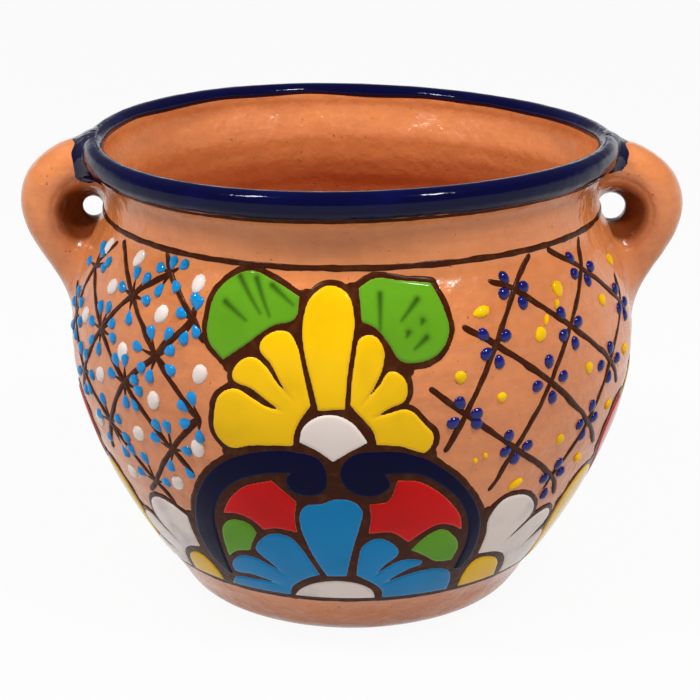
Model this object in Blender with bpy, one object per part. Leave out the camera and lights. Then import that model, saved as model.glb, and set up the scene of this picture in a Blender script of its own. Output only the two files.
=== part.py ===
"""Clay urn planter: a turned terracotta bowl with two luted ear handles, a
cobalt glaze band over its rolled lip, and raised enamel fields of a
traditional folk flower pattern laid on the wall.

Metres, +Z up. The origin is the centre of the base, the handles stand on +X
and -X, and the painted front faces -Y.
"""
import math

import bmesh
import bpy
from mathutils import Vector
from mathutils.geometry import delaunay_2d_cdt

# Wall of the bowl, outside
FOOT_RADIUS = 0.080
FOOT_ROUND = 0.0025
BELLY_RADIUS = 0.1405
BELLY_RISE = 0.131
SHOULDER_RISE = 0.062
NECK_RADIUS = 0.1225
NECK_DIP = 0.001
NECK_RISE = 0.013
LOWER_FULLNESS = 1.72
UPPER_FULLNESS = 2.2

# Rolled lip, measured over its glaze
LIP_RISE = 0.0205
LIP_OUT = 0.004
LIP_HALF_WIDTH = 0.0058
LIP_HALF_HEIGHT = 0.0067
LIP_UNDERSIDE = math.radians(-52)
LIP_INSIDE = math.radians(205)

# Clay thickness
WALL = 0.0085
NECK_WALL = 0.0060
FLOOR = 0.012
FLOOR_ROUND = 0.008
DRAIN_RADIUS = 0.010

# Fits and glaze thickness
JOINT_GAP = 0.0003
RIM_GLAZE = 0.0009
ENAMEL = 0.0009
ENAMEL_SLOPE = 0.0007

# Handles: half the width along Y, and how square the section is
HANDLE_HALF_WIDTH = 0.0175
HANDLE_ROOT_FLARE = 0.006
HANDLE_SQUARENESS = 2.3

# Painted band, between the line above the foot and the line under the neck
BASE_LINE_HEIGHT = 0.0245
NECK_LINE_BELOW_WAIST = 0.0095
MEDALLION_TURN = math.radians(-4)
SIDE_TURN = math.radians(91.25)

# The medallion spreads towards the foot, where the bowl narrows: its share at
# the base line, the percent where it ends and the degrees where it fades out
LOW_SPREAD = 0.075
SPREAD_TOP = 56
SPREAD_SIDE = 58

# Facets
SEGMENTS = 56
LOWER_STEPS = 9
UPPER_STEPS = 6
LIP_STEPS = 8
HANDLE_RINGS = 16
HANDLE_SIDES = 12
HANDLE_PROBE = 0.05
OUTLINE_STEP = 0.0105
CUT_SNAP = 0.0001
SLOPE_TRIES = 8
SLOPE_KEEPS = 0.2

FACET = 2 * math.pi / SEGMENTS
SHOULDER_HEIGHT = BELLY_RISE + SHOULDER_RISE
WAIST_HEIGHT = SHOULDER_HEIGHT + NECK_RISE
LIP_HEIGHT = WAIST_HEIGHT + LIP_RISE
LIP_RADIUS = NECK_RADIUS + LIP_OUT
SHOULDER_RADIUS = NECK_RADIUS + NECK_DIP
NECK_LINE_HEIGHT = WAIST_HEIGHT - NECK_LINE_BELOW_WAIST

# Colours, roughness and metallic value of each finish
FINISHES = {
    "clay": ((0.66, 0.27, 0.13), 0.28),
    "cobalt": ((0.004, 0.005, 0.05), 0.12),
    "yellow": ((0.90, 0.55, 0.01), 0.20),
    "white": ((0.80, 0.74, 0.72), 0.22),
    "red": ((0.62, 0.005, 0.005), 0.18),
    "green": ((0.13, 0.36, 0.02), 0.20),
    "blue": ((0.005, 0.23, 0.52), 0.20),
}

# A point of an outline is degrees round the pot from the motif's centre line
# and percent of the way up the painted band. CORNER marks a sharp point.
CORNER = True

MEDALLION = [
    ("leaf_left", "green", [
        (-17.5, 98), (-12, 96), (-6.5, 92.5, CORNER), (-7, 87.5), (-11, 85.5), (-16.5, 80),
        (-20.5, 76, CORNER), (-24, 80.5), (-24.5, 86), (-24, 91), (-21, 96)]),
    ("leaf_right", "green", [
        (5.5, 95, CORNER), (8, 97), (14, 96.5), (20, 95.5, CORNER), (22, 88.5), (22.5, 84),
        (20, 78.5), (17, 77), (13, 77.5), (11, 81.5), (8.5, 85.5), (6, 87, CORNER)]),
    ("yellow_middle", "yellow", [
        (-5.2, 87), (-4, 92.5), (-0.5, 95.5), (3, 93.5), (4.3, 88), (3.7, 80), (3.1, 73),
        (2.6, 66, CORNER), (-2, 65.5, CORNER), (-3.2, 72), (-4.8, 80)]),
    ("yellow_left", "yellow", [
        (-3.6, 66.5, CORNER), (-5, 74.5), (-6.4, 81), (-8, 83.8), (-11, 83.6), (-13.3, 80.2),
        (-10.8, 76), (-8.8, 71.5), (-6.6, 67.5, CORNER), (-9.8, 71.5), (-12, 75.2),
        (-14.5, 77.2), (-17.3, 75.5), (-18.3, 72), (-14.5, 69.8), (-11.5, 67.2),
        (-8.8, 64.8, CORNER), (-11.5, 65.3), (-14.5, 67.2), (-17.8, 69), (-20.5, 67.5),
        (-22, 62), (-21.8, 56.5), (-19.5, 53.8), (-15, 55), (-7, 56, CORNER), (-6.6, 59.5),
        (-5.6, 62.5)]),
    ("yellow_right", "yellow", [
        (3.8, 67, CORNER), (4.1, 74), (4.8, 79), (5.7, 83), (7.8, 83.5), (9.7, 80.5),
        (9.5, 76), (8.2, 72), (5.8, 66.8, CORNER), (9.2, 71.8), (11, 74.8), (13, 73.7),
        (14, 70.5), (13.4, 67.6), (11, 66.2), (7.7, 63.6, CORNER), (10.4, 64.4), (14, 65.2),
        (17, 61.5), (19, 57.6), (18, 54.2), (13, 56), (8.6, 56.7, CORNER), (8, 60),
        (6.5, 62.8), (5, 65)]),
    ("eye_upper", "white", [
        (-5.5, 57, CORNER), (-5, 60.3), (-2.8, 63.2), (0.5, 64.2), (3.8, 62.4), (5.5, 59.8),
        (6.7, 57.2, CORNER), (3.4, 54.6), (0.5, 52, CORNER), (-2.2, 54.8)]),
    ("scroll_left", "cobalt", [
        (-28.8, 5.5, CORNER), (-32, 11.5), (-32.8, 19), (-31.3, 29), (-27.5, 39.5),
        (-21.5, 48.3), (-14.5, 52.8), (-6.5, 54), (-2.2, 52.3), (-0.8, 48), (-1.5, 42.8),
        (-4.5, 41.2), (-8, 43), (-8.5, 45.8), (-7.3, 48, CORNER), (-12.5, 47),
        (-18.5, 43.7), (-23, 38), (-26, 30), (-27, 21), (-27.6, 12), (-27.8, 6.5, CORNER)]),
    ("scroll_right", "cobalt", [
        (30.8, 9.8, CORNER), (32.5, 14.5), (32.8, 22), (31.4, 30.3), (27.5, 39.5),
        (21.6, 48), (15.5, 53.2), (8.5, 54.5), (4, 53.5), (2, 50), (2.2, 45.5), (4.8, 42),
        (9.3, 41.9), (11.1, 44.5), (10, 48, CORNER), (16.5, 47.4), (21.2, 43.5), (25.5, 37.5),
        (28.7, 29.5), (29.8, 22), (29.4, 14.5), (29, 10.8, CORNER)]),
    ("red_left", "red", [
        (-23.2, 32, CORNER), (-21, 37), (-17.5, 41.8), (-11.5, 45, CORNER), (-10, 43),
        (-7, 39, CORNER), (-7.6, 34), (-7.6, 28.6, CORNER), (-12.3, 29.2),
        (-14.6, 28.2, CORNER), (-16.9, 31.2), (-20, 32.6)]),
    ("red_right", "red", [
        (12.6, 45.8, CORNER), (16, 45.3), (20, 42), (23.8, 36.8), (26.5, 31.5),
        (27.4, 27.2, CORNER), (24.8, 29.4), (21.5, 30.2), (19.2, 28.6), (15.8, 24.8, CORNER),
        (12, 28.8), (7.4, 28.8, CORNER), (7.7, 34.5), (7.4, 38.6, CORNER), (11, 39.6),
        (12.1, 43)]),
    ("bud_left", "green", [
        (-24.5, 26.3), (-21, 30), (-17.6, 29), (-16.6, 26.5, CORNER), (-18.2, 22.5),
        (-19.4, 19.2, CORNER), (-23, 17.8), (-25.8, 15, CORNER), (-25.5, 21)]),
    ("bud_right", "green", [
        (16.8, 21.5, CORNER), (19.5, 26), (22.5, 28), (25.8, 25), (27.8, 20),
        (27.2, 15.2, CORNER), (23.5, 15.6), (19.8, 19)]),
    ("blue_middle", "blue", [
        (-6.3, 35), (-5, 37.8), (-2, 38.6), (0.6, 40.2), (4, 39.6), (5.8, 36.5), (5.4, 32),
        (4.3, 25.5), (3.2, 18), (2.4, 11.8, CORNER), (-1.9, 11.6, CORNER), (-4, 18),
        (-5.8, 26), (-6.5, 31)]),
    ("blue_left", "blue", [
        (-3.8, 12, CORNER), (-5.4, 17), (-7.2, 22.5), (-9.2, 26.2), (-12.3, 27),
        (-15.6, 24.3), (-17.6, 19.5), (-15.4, 15.9), (-12.3, 11.2, CORNER), (-15.6, 13.9),
        (-18.5, 16), (-22, 15.9), (-25, 13), (-26.4, 9.2), (-21, 8.4), (-14.5, 6.2, CORNER),
        (-21, 6.2), (-27, 5), (-29.4, 1.6, CORNER), (-12.3, 1.6, CORNER), (-11.6, 4.5),
        (-9.2, 8), (-6.2, 10.6)]),
    ("blue_right", "blue", [
        (5, 12, CORNER), (5.3, 18), (6.7, 24.8), (9.2, 26.6), (11.8, 25), (13.8, 20.5),
        (11.3, 16.5), (8.6, 11.2, CORNER), (10.9, 14), (13.8, 16.9), (17, 17.6),
        (19.7, 15.6), (17.3, 14.1), (14.8, 12), (11, 7.8, CORNER), (15.3, 10.4),
        (19.5, 12), (24.3, 12.1), (27.6, 10), (29, 6.3), (29.3, 1.6, CORNER),
        (11.6, 1.6, CORNER), (11.3, 4.6), (9.2, 8), (6.8, 10.4)]),
    ("eye_lower", "white", [
        (-10.8, 1.6, CORNER), (-9.2, 4.2), (-6, 7.2), (-1.7, 9), (2.7, 9), (6, 7.6),
        (8.7, 4.6), (9.4, 1.6, CORNER)]),
    ("daisy_left", "white", [
        (-35, 15, CORNER), (-34.9, 21), (-34.4, 26.6, CORNER), (-38.5, 29.4), (-43, 29.8),
        (-47.2, 25.8), (-48, 20.5), (-45.6, 15.8), (-43, 12.4, CORNER), (-47.6, 15.8),
        (-52.5, 20), (-56.5, 18.3), (-57, 13), (-53.5, 9.6), (-48.5, 7.4, CORNER),
        (-54, 7.9), (-58.5, 9), (-61, 5.5), (-60.3, 1.6, CORNER), (-47, 1.6, CORNER),
        (-46, 5.6), (-43.6, 9.8), (-39.6, 13.2)]),
    ("daisy_left_eye", "yellow", [
        (-33, 1.6, CORNER), (-33.7, 7), (-36.2, 11), (-40.3, 10), (-43.1, 7),
        (-44.6, 1.6, CORNER)]),
    ("daisy_right", "white", [
        (34.8, 15.3, CORNER), (34.9, 22), (34.2, 29.5), (36.5, 34.4), (40.5, 34.8),
        (45, 31.8), (47.6, 26.3), (44.5, 20.8), (41, 16, CORNER), (45.3, 19.8),
        (50.3, 24), (54.5, 24.4), (57.2, 21), (54.5, 15.4), (49.6, 10.6, CORNER),
        (55.5, 13.6), (59.3, 14.6), (61.4, 11), (61.8, 5.5), (61, 1.6, CORNER),
        (49, 1.6, CORNER), (48.2, 5.6), (45.2, 10.8), (40.5, 14)]),
    ("daisy_right_eye", "yellow", [
        (33.2, 1.6, CORNER), (33, 7), (34.5, 12.2), (39.6, 12), (43.8, 8.4),
        (46.4, 1.6, CORNER)]),
]

# Left half of the flower under each handle; the right half mirrors it
SIDE_PETALS = [
    ("low", "yellow", [
        (-10.6, 1.6, CORNER), (-26.8, 1.6, CORNER), (-29, 10), (-30.8, 20), (-30, 28),
        (-26, 33), (-21, 32), (-15.8, 23), (-9.2, 10.4, CORNER), (-10.3, 5.5)]),
    ("high", "red", [
        (-7.8, 11.6, CORNER), (-13.2, 23.5), (-18.8, 34.5), (-21.6, 41), (-20, 48.5),
        (-15.5, 51.5), (-10.8, 48), (-7.7, 38), (-5.5, 26), (-3.4, 13.8, CORNER)]),
]
SIDE_MIDDLE = [
    ("middle", "yellow", [
        (-1.9, 14.2, CORNER), (-3.6, 27), (-5.6, 38), (-6.8, 47), (-5, 54), (0, 57),
        (5, 54), (6.8, 47), (5.6, 38), (3.6, 27), (1.9, 14.2, CORNER)]),
    ("eye", "white", [
        (-8.6, 1.6, CORNER), (-7.6, 6), (-4.2, 9.8), (0, 11.2), (4.2, 9.8), (7.6, 6),
        (8.6, 1.6, CORNER)]),
]

# Middle line of a handle: distance out from the neck wall, height from the
# waist, and half the clay's thickness across the line
HANDLE_LINE = [
    (-0.0065, 0.0110, 0.0128),
    (0.0085, 0.0085, 0.0135),
    (0.0180, 0.0045, 0.0132),
    (0.0252, -0.0025, 0.0143),
    (0.0273, -0.0102, 0.0146),
    (0.0260, -0.0175, 0.0143),
    (0.0221, -0.0252, 0.0142),
    (0.0160, -0.0340, 0.0146),
    (0.0080, -0.0450, 0.0156),
    (-0.0015, -0.0555, 0.0165),
]


def clear_scene():
    """Remove every object of the open file."""
    for thing in list(bpy.data.objects):
        bpy.data.objects.remove(thing, do_unlink=True)


def finish(name):
    """Return the glaze or clay material of this name."""
    found = bpy.data.materials.get(name)
    if found:
        return found
    colour, roughness = FINISHES[name]
    material = bpy.data.materials.new(name)
    material.use_nodes = True
    shader = material.node_tree.nodes["Principled BSDF"]
    shader.inputs["Base Color"].default_value = (*colour, 1)
    shader.inputs["Roughness"].default_value = roughness
    shader.inputs["Metallic"].default_value = 0
    return material


def add_object(name, bm, material, sharp=math.radians(35)):
    """Store a bmesh as a smooth-shaded object with outward faces."""
    bmesh.ops.recalc_face_normals(bm, faces=bm.faces)
    mesh = bpy.data.meshes.new(name)
    bm.to_mesh(mesh)
    bm.free()
    mesh.shade_smooth()
    mesh.set_sharp_from_angle(angle=sharp)
    mesh.materials.append(finish(material))
    thing = bpy.data.objects.new(name, mesh)
    bpy.context.collection.objects.link(thing)
    return thing


def outer_radius(height):
    """Radius of the bowl's outside between the foot and the shoulder."""
    if height <= BELLY_RISE:
        below = 1 - height / BELLY_RISE
        return BELLY_RADIUS - (BELLY_RADIUS - FOOT_RADIUS) * below ** LOWER_FULLNESS
    above = (height - BELLY_RISE) / SHOULDER_RISE
    return BELLY_RADIUS - (BELLY_RADIUS - SHOULDER_RADIUS) * above ** UPPER_FULLNESS


def wall_line():
    """Outside of the wall from the foot to the shoulder, as (radius, height)."""
    foot = FOOT_ROUND
    heights = [foot + (BELLY_RISE - foot) * i / LOWER_STEPS for i in range(LOWER_STEPS)]
    heights += [BELLY_RISE + SHOULDER_RISE * i / UPPER_STEPS for i in range(UPPER_STEPS + 1)]
    return [(outer_radius(h), h) for h in heights]


def neck_line():
    """Hollow of the neck, from above the shoulder to under the lip."""
    under = LIP_HEIGHT + (LIP_HALF_HEIGHT - RIM_GLAZE) * math.sin(LIP_UNDERSIDE)
    out = LIP_RADIUS + (LIP_HALF_WIDTH - RIM_GLAZE) * math.cos(LIP_UNDERSIDE)
    line = [(NECK_RADIUS, WAIST_HEIGHT)]
    for share in (0.45, 0.8):
        height = WAIST_HEIGHT + (under - WAIST_HEIGHT) * share
        line.append((NECK_RADIUS + (out - NECK_RADIUS) * share ** 2.5, height))
    return line


def lip_arc(inset):
    """Oval of the rolled lip, inset from its glazed size, outside to inside."""
    arc = []
    for i in range(LIP_STEPS + 1):
        angle = LIP_UNDERSIDE + (LIP_INSIDE - LIP_UNDERSIDE) * i / LIP_STEPS
        arc.append((LIP_RADIUS + (LIP_HALF_WIDTH - inset) * math.cos(angle),
                    LIP_HEIGHT + (LIP_HALF_HEIGHT - inset) * math.sin(angle)))
    return arc


def beside(line, distance):
    """The line moved sideways by a distance, with mitred corners."""
    moved = []
    for i, (r, z) in enumerate(line):
        normals = []
        for a, b in ((i - 1, i), (i, i + 1)):
            if 0 <= a and b < len(line):
                along = Vector((line[b][0] - line[a][0], line[b][1] - line[a][1])).normalized()
                normals.append(Vector((along.y, -along.x)))
        if len(normals) == 2:
            mitre = (normals[0] + normals[1]) / (1 + normals[0].dot(normals[1]))
        else:
            mitre = normals[0]
        moved.append((r + mitre.x * distance, z + mitre.y * distance))
    return moved


def inner_line():
    """Inside of the bowl from the waist down to the floor's rounded edge."""
    outside = wall_line() + neck_line()[:1]
    thinning = WALL - NECK_WALL
    inside = []
    for (r, z), (_, far_z) in zip(beside(outside, -WALL), outside):
        share = min(max((far_z - BELLY_RISE) / (WAIST_HEIGHT - BELLY_RISE), 0), 1)
        inside.append((r + thinning * share, z))
    low, high = inside[0], inside[1]
    slope = Vector((high[0] - low[0], high[1] - low[1])).normalized()
    corner = Vector((low[0] + slope.x * (FLOOR - low[1]) / slope.y, FLOOR))
    above = corner + slope * FLOOR_ROUND
    before = corner - Vector((FLOOR_ROUND, 0))
    middle = (above + 2 * corner + before) / 4
    wall = [(r, z) for r, z in inside if z > above.y + FLOOR_ROUND]
    waist, shoulder = wall[-1], wall[-2]
    return [waist, shoulder] + wall[-4::-2] + [tuple(above), tuple(middle), tuple(before)]


def spin_line(line, closed):
    """Turn a profile of (radius, height) points round the Z axis."""
    bm = bmesh.new()
    verts = [bm.verts.new((r, 0, z)) for r, z in line]
    edges = [bm.edges.new(pair) for pair in zip(verts, verts[1:])]
    if closed:
        edges.append(bm.edges.new((verts[-1], verts[0])))
    bmesh.ops.spin(bm, geom=verts + edges, cent=(0, 0, 0), axis=(0, 0, 1),
                   angle=2 * math.pi, steps=SEGMENTS)
    bmesh.ops.remove_doubles(bm, verts=bm.verts, dist=0.00001)
    return bm


def make_vessel():
    """Turn the clay bowl: foot, wall, neck, lip core, inside and drain hole."""
    line = [(DRAIN_RADIUS, 0), (FOOT_RADIUS - FOOT_ROUND, 0)]
    line += wall_line() + neck_line() + lip_arc(RIM_GLAZE + JOINT_GAP)
    line += inner_line() + [(DRAIN_RADIUS, FLOOR)]
    return add_object("vessel", spin_line(line, closed=True), "clay")


def make_rim_glaze():
    """Turn the cobalt band that covers the rolled lip."""
    band = lip_arc(0) + lip_arc(RIM_GLAZE)[::-1]
    return add_object("rim_glaze", spin_line(band, closed=True), "cobalt")


def curve_point(points, t):
    """Point at t on a Catmull-Rom curve through the points."""
    i = min(int(t), len(points) - 2)
    f = t - i
    before = points[max(i - 1, 0)]
    after = points[min(i + 2, len(points) - 1)]
    here, there = points[i], points[i + 1]
    return [0.5 * (2 * b + (c - a) * f + (2 * a - 5 * b + 4 * c - d) * f ** 2
                   + (3 * b - a - 3 * c + d) * f ** 3)
            for a, b, c, d in zip(before, here, there, after)]


def envelope():
    """Solid of the whole outside, kept a joint's gap clear, to cut handles."""
    outside = beside(wall_line() + neck_line(), JOINT_GAP)
    lip = lip_arc(-JOINT_GAP)
    line = [(0, -FLOOR), (FOOT_RADIUS, -FLOOR)] + outside[1:] + lip[:LIP_STEPS // 2 + 3]
    line.append((0, line[-1][1]))
    cutter = add_object("handle_cutter", spin_line(line, closed=False), "clay")
    cutter.hide_render = True
    cutter.display_type = "WIRE"
    return cutter


def make_handle(name, side, cutter):
    """Loft an ear handle along its middle line and cut it to the wall."""
    stations = [(NECK_RADIUS + out, WAIST_HEIGHT + up, half) for out, up, half in HANDLE_LINE]
    last = len(stations) - 1
    bm = bmesh.new()
    rings = []
    for k in range(HANDLE_RINGS):
        t = last * k / (HANDLE_RINGS - 1)
        x, z, half = curve_point(stations, t)
        ahead = curve_point(stations, min(t + HANDLE_PROBE, last))
        behind = curve_point(stations, max(t - HANDLE_PROBE, 0))
        along = Vector((ahead[0] - behind[0], 0, ahead[1] - behind[1])).normalized()
        across = Vector((-along.z, 0, along.x))
        root = abs(2 * t / last - 1) ** 3
        width = HANDLE_HALF_WIDTH + HANDLE_ROOT_FLARE * root
        ring = []
        for j in range(HANDLE_SIDES):
            angle = 2 * math.pi * j / HANDLE_SIDES
            c, s = math.cos(angle), math.sin(angle)
            round_by = (abs(c) ** HANDLE_SQUARENESS + abs(s) ** HANDLE_SQUARENESS)
            round_by **= -1 / HANDLE_SQUARENESS
            point = Vector((x, 0, z)) + across * (half * c * round_by)
            point.y = width * s * round_by
            ring.append(bm.verts.new((point.x * side, point.y, point.z)))
        rings.append(ring)
    for ring, after in zip(rings, rings[1:]):
        for j in range(HANDLE_SIDES):
            k = (j + 1) % HANDLE_SIDES
            bm.faces.new((ring[j], ring[k], after[k], after[j]))
    bm.faces.new(rings[0])
    bm.faces.new(rings[-1])
    handle = add_object(name, bm, "clay")
    cut = handle.modifiers.new("seat", "BOOLEAN")
    cut.operation = "DIFFERENCE"
    cut.solver = "EXACT"
    cut.object = cutter
    return handle


def distances(line):
    """Distance along the line to each of its points."""
    run = [0]
    for (r0, z0), (r1, z1) in zip(line, line[1:]):
        run.append(run[-1] + math.hypot(r1 - r0, z1 - z0))
    return run


def distance_at(height):
    """Distance up the wall's outside to a height."""
    line = wall_line() + neck_line()
    run = distances(line)
    for i in range(len(line) - 1):
        if line[i][1] <= height <= line[i + 1][1]:
            share = (height - line[i][1]) / (line[i + 1][1] - line[i][1])
            return run[i] + (run[i + 1] - run[i]) * share
    return run[-1]


def spread(degrees, percent):
    """Degrees of a medallion point, moved outwards low on the bowl."""
    low = max(0, 1 - percent / SPREAD_TOP)
    middle = max(0, 1 - (degrees / SPREAD_SIDE) ** 2)
    return degrees * (1 + LOW_SPREAD * low * middle)


def smooth_outline(points):
    """Closed curve through the points, sharp at corners, as sheet points."""
    low, high = distance_at(BASE_LINE_HEIGHT), distance_at(NECK_LINE_HEIGHT)
    flat = [(math.radians(p[0]) * BELLY_RADIUS, low + (high - low) * p[1] / 100)
            for p in points]
    sharp = [len(p) == 3 for p in points]
    n = len(flat)
    outline = []
    for i in range(n):
        here, there = flat[i], flat[(i + 1) % n]
        before = here if sharp[i] else flat[i - 1]
        after = there if sharp[(i + 1) % n] else flat[(i + 2) % n]
        steps = max(1, round(math.dist(here, there) / OUTLINE_STEP))
        for k in range(steps):
            outline.append(curve_point([before, here, there, after], 1 + k / steps))
    area = sum(a[0] * b[1] - b[0] * a[1] for a, b in zip(outline, outline[1:] + outline[:1]))
    return outline if area > 0 else outline[::-1]


def drape(distance, angle, lines, run, level):
    """Place a sheet point on the faceted wall at one of the lifted lines."""
    line = lines[level]
    i = max(0, min(len(run) - 2, next((k for k in range(len(run)) if run[k] > distance),
                                      len(run) - 1) - 1))
    share = (distance - run[i]) / (run[i + 1] - run[i])
    radius = line[i][0] + (line[i + 1][0] - line[i][0]) * share
    height = line[i][1] + (line[i + 1][1] - line[i][1]) * share
    middle = (math.floor(angle / FACET) + 0.5) * FACET
    radius *= math.cos(FACET / 2) / math.cos(angle - middle)
    return (radius * math.sin(angle), -radius * math.cos(angle), height)


def cut_sheet(outline, run):
    """Triangles inside an outline, divided along the wall's facet lines."""
    xs = [x for x, _ in outline]
    ys = [y for _, y in outline]
    step = FACET * BELLY_RADIUS
    places = [Vector(point) for point in outline]
    lines = [((k * step, min(ys) - step), (k * step, max(ys) + step))
             for k in range(math.ceil(min(xs) / step), math.floor(max(xs) / step) + 1)]
    lines += [((min(xs) - step, y), (max(xs) + step, y)) for y in run if min(ys) < y < max(ys)]
    cuts = []
    for ends in lines:
        cuts.append((len(places), len(places) + 1))
        places += [Vector(end) for end in ends]
    whole = [list(range(len(outline)))]
    found = delaunay_2d_cdt(places, cuts, whole, 0, CUT_SNAP)
    inside = [corners for corners, source in zip(found[2], found[5]) if source]
    return found[0], inside


def flat_area(a, b, c):
    """Twice the signed area of a triangle on the sheet."""
    return (b.x - a.x) * (c.y - a.y) - (b.y - a.y) * (c.x - a.x)


def set_slope(bm, inward):
    """Store how far each border point's upper copy moves in, with no triangle folded."""
    for edge in bm.edges:
        if len(edge.link_faces) == 1:
            a, b = (v.co for v in edge.verts)
            side = Vector((a.y - b.y, b.x - a.x, 0)).normalized()
            if side.dot(edge.link_faces[0].calc_center_median() - a) < 0:
                side.negate()
            for vert in edge.verts:
                vert[inward] = vert[inward] + side
    for vert in bm.verts:
        vert[inward] = vert[inward].normalized() * ENAMEL_SLOPE
    for _ in range(SLOPE_TRIES):
        for face in bm.faces:
            here = [vert.co for vert in face.verts]
            there = [vert.co + vert[inward] for vert in face.verts]
            if flat_area(*there) / flat_area(*here) < SLOPE_KEEPS:
                for vert in face.verts:
                    vert[inward] = vert[inward] / 2


def make_field(name, material, points, turn):
    """Lay one raised enamel field on the wall, following its facets."""
    wall = wall_line() + neck_line()
    run = distances(wall)
    lines = [beside(wall, JOINT_GAP), beside(wall, JOINT_GAP + ENAMEL)]
    shift = turn * BELLY_RADIUS
    outline = [(x + shift, y) for x, y in smooth_outline(points)]
    bm = bmesh.new()
    places, triangles = cut_sheet(outline, run)
    flat = [bm.verts.new((*place, 0)) for place in places]
    for corners in triangles:
        bm.faces.new([flat[i] for i in corners])
    bmesh.ops.delete(bm, geom=[v for v in bm.verts if not v.link_faces], context="VERTS")
    inward = bm.verts.layers.float_vector.new("inward")
    set_slope(bm, inward)
    sheet = bm.verts[:]
    raised = bmesh.ops.extrude_face_region(bm, geom=bm.faces[:])
    top = [item for item in raised["geom"] if isinstance(item, bmesh.types.BMVert)]
    for vert in top:
        vert.co += vert[inward]
    for level, verts in enumerate((sheet, top)):
        for vert in verts:
            vert.co = drape(vert.co.y, vert.co.x / BELLY_RADIUS, lines, run, level)
    return add_object(name, bm, material)


def mirrored(points):
    """The same outline on the other side of its motif's centre line."""
    return [(-p[0], *p[1:]) for p in points[::-1]]


def make_motifs():
    """Lay the front and back medallions and the flowers under the handles."""
    for place, half_turn in (("front", 0), ("back", math.pi)):
        for name, material, points in MEDALLION:
            points = [(spread(p[0], p[1]), *p[1:]) for p in points]
            make_field(f"{name}_{place}", material, points, MEDALLION_TURN + half_turn)
    for place, half_turn in (("right", 0), ("left", math.pi)):
        turn = MEDALLION_TURN + SIDE_TURN + half_turn
        for name, material, points in SIDE_MIDDLE:
            make_field(f"side_{name}_{place}", material, points, turn)
        for name, material, points in SIDE_PETALS:
            make_field(f"side_{name}_a_{place}", material, points, turn)
            make_field(f"side_{name}_b_{place}", material, mirrored(points), turn)


def main():
    clear_scene()
    make_vessel()
    make_rim_glaze()
    cutter = envelope()
    make_handle("handle_right", 1, cutter)
    make_handle("handle_left", -1, cutter)
    make_motifs()


main()
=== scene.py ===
"""Clay urn planter, dressed: a thrown clay bowl with a hand-softened rim and luted ear handles, a cobalt
glaze run over the lip, and a folk flower pattern in raised enamel, trailed brown slip and glaze drops.

Metres, +Z up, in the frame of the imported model. The pattern is drawn on a flat sheet, x metres round the
belly and y metres up the wall from the foot's edge, and is then draped on the turned wall. A place in the
pattern is degrees round from its motif's centre line and percent of the way up the painted band.
"""

from math import cos, pi, radians, sin

import bmesh
import bpy
import numpy as np
from bpy.props import FloatProperty, FloatVectorProperty, IntProperty, PointerProperty
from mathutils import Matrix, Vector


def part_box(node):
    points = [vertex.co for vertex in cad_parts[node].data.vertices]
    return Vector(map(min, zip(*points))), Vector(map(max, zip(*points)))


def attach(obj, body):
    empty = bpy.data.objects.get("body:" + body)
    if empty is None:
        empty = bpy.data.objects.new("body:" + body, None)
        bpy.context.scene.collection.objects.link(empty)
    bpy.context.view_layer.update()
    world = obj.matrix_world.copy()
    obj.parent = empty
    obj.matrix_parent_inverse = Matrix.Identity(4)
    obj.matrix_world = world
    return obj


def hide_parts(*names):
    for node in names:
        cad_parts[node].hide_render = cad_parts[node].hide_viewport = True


bl_info = {
    "name": "Clay Urn Planter",
    "version": (1, 0, 0),
    "blender": (4, 5, 0),
    "location": "View3D > Sidebar > Planter",
    "description": "Dresses the packed clay planter with clay, glaze and enamel",
    "category": "Add Mesh",
}

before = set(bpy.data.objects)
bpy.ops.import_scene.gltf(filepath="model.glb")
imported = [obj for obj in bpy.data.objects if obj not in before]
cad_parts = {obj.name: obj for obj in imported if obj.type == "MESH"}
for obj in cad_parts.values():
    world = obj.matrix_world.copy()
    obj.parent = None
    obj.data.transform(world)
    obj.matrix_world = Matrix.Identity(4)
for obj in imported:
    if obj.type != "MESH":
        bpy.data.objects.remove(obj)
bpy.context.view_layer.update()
NEAR = 1e-5
MILLIMETRE = 1e-3
WHITE = (1, 1, 1, 1)

# Turned profile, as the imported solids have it
BELLY_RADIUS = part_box("vessel")[1].x
FOOT_EDGE_HEIGHT = 0.0025
BASE_LINE_HEIGHT = 0.0245
NECK_LINE_HEIGHT = 0.1965
NECK_RADIUS = 0.1225
WAIST_HEIGHT = 0.2060
LIP_RADIUS = 0.1265
LIP_HEIGHT = 0.2265
LIP_OUTSIDE = 0.1335
BELOW_GROUND = -0.05
PROFILE_STEP = 0.0024
CORNER_TURN = radians(40)

# Skin of the thrown clay: grain of its unevenness, and heights over which it comes in above the flat foot
UNEVENNESS = 0.0006
UNEVEN_SCALE = 28.0
UNEVEN_DETAIL = 2.0
UNEVEN_FROM = 0.001
UNEVEN_TO = 0.012

# Soft rim: sag, tilt and twist left by the potter's hands, fading out down the neck
SOFT_FROM = 0.188
SOFT_TO = 0.224
TILT_TOWARDS = radians(-23)
TWIST_TOWARDS = radians(40.6)
RIM_DRAW = 0.0006

# Heights at which the cobalt on the lip ends, outside and inside
GLAZE_OUTSIDE_HEIGHT = 0.2197
GLAZE_INSIDE_HEIGHT = 0.2295
GLAZE_ROWS = 26
GLAZE_TAPER = 0.003
THIN_EDGE = 0.0025
PROFILE_SPARE = 6

# Waves of the cobalt's edges, each its size and height: two outside, one inside
OUTSIDE_WAVE = (0.011, 0.0011)
OUTSIDE_RIPPLE = (0.0028, 0.0004)
INSIDE_WAVE = (0.009, 0.0008)
INSIDE_SHIFT = 0.3

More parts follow.
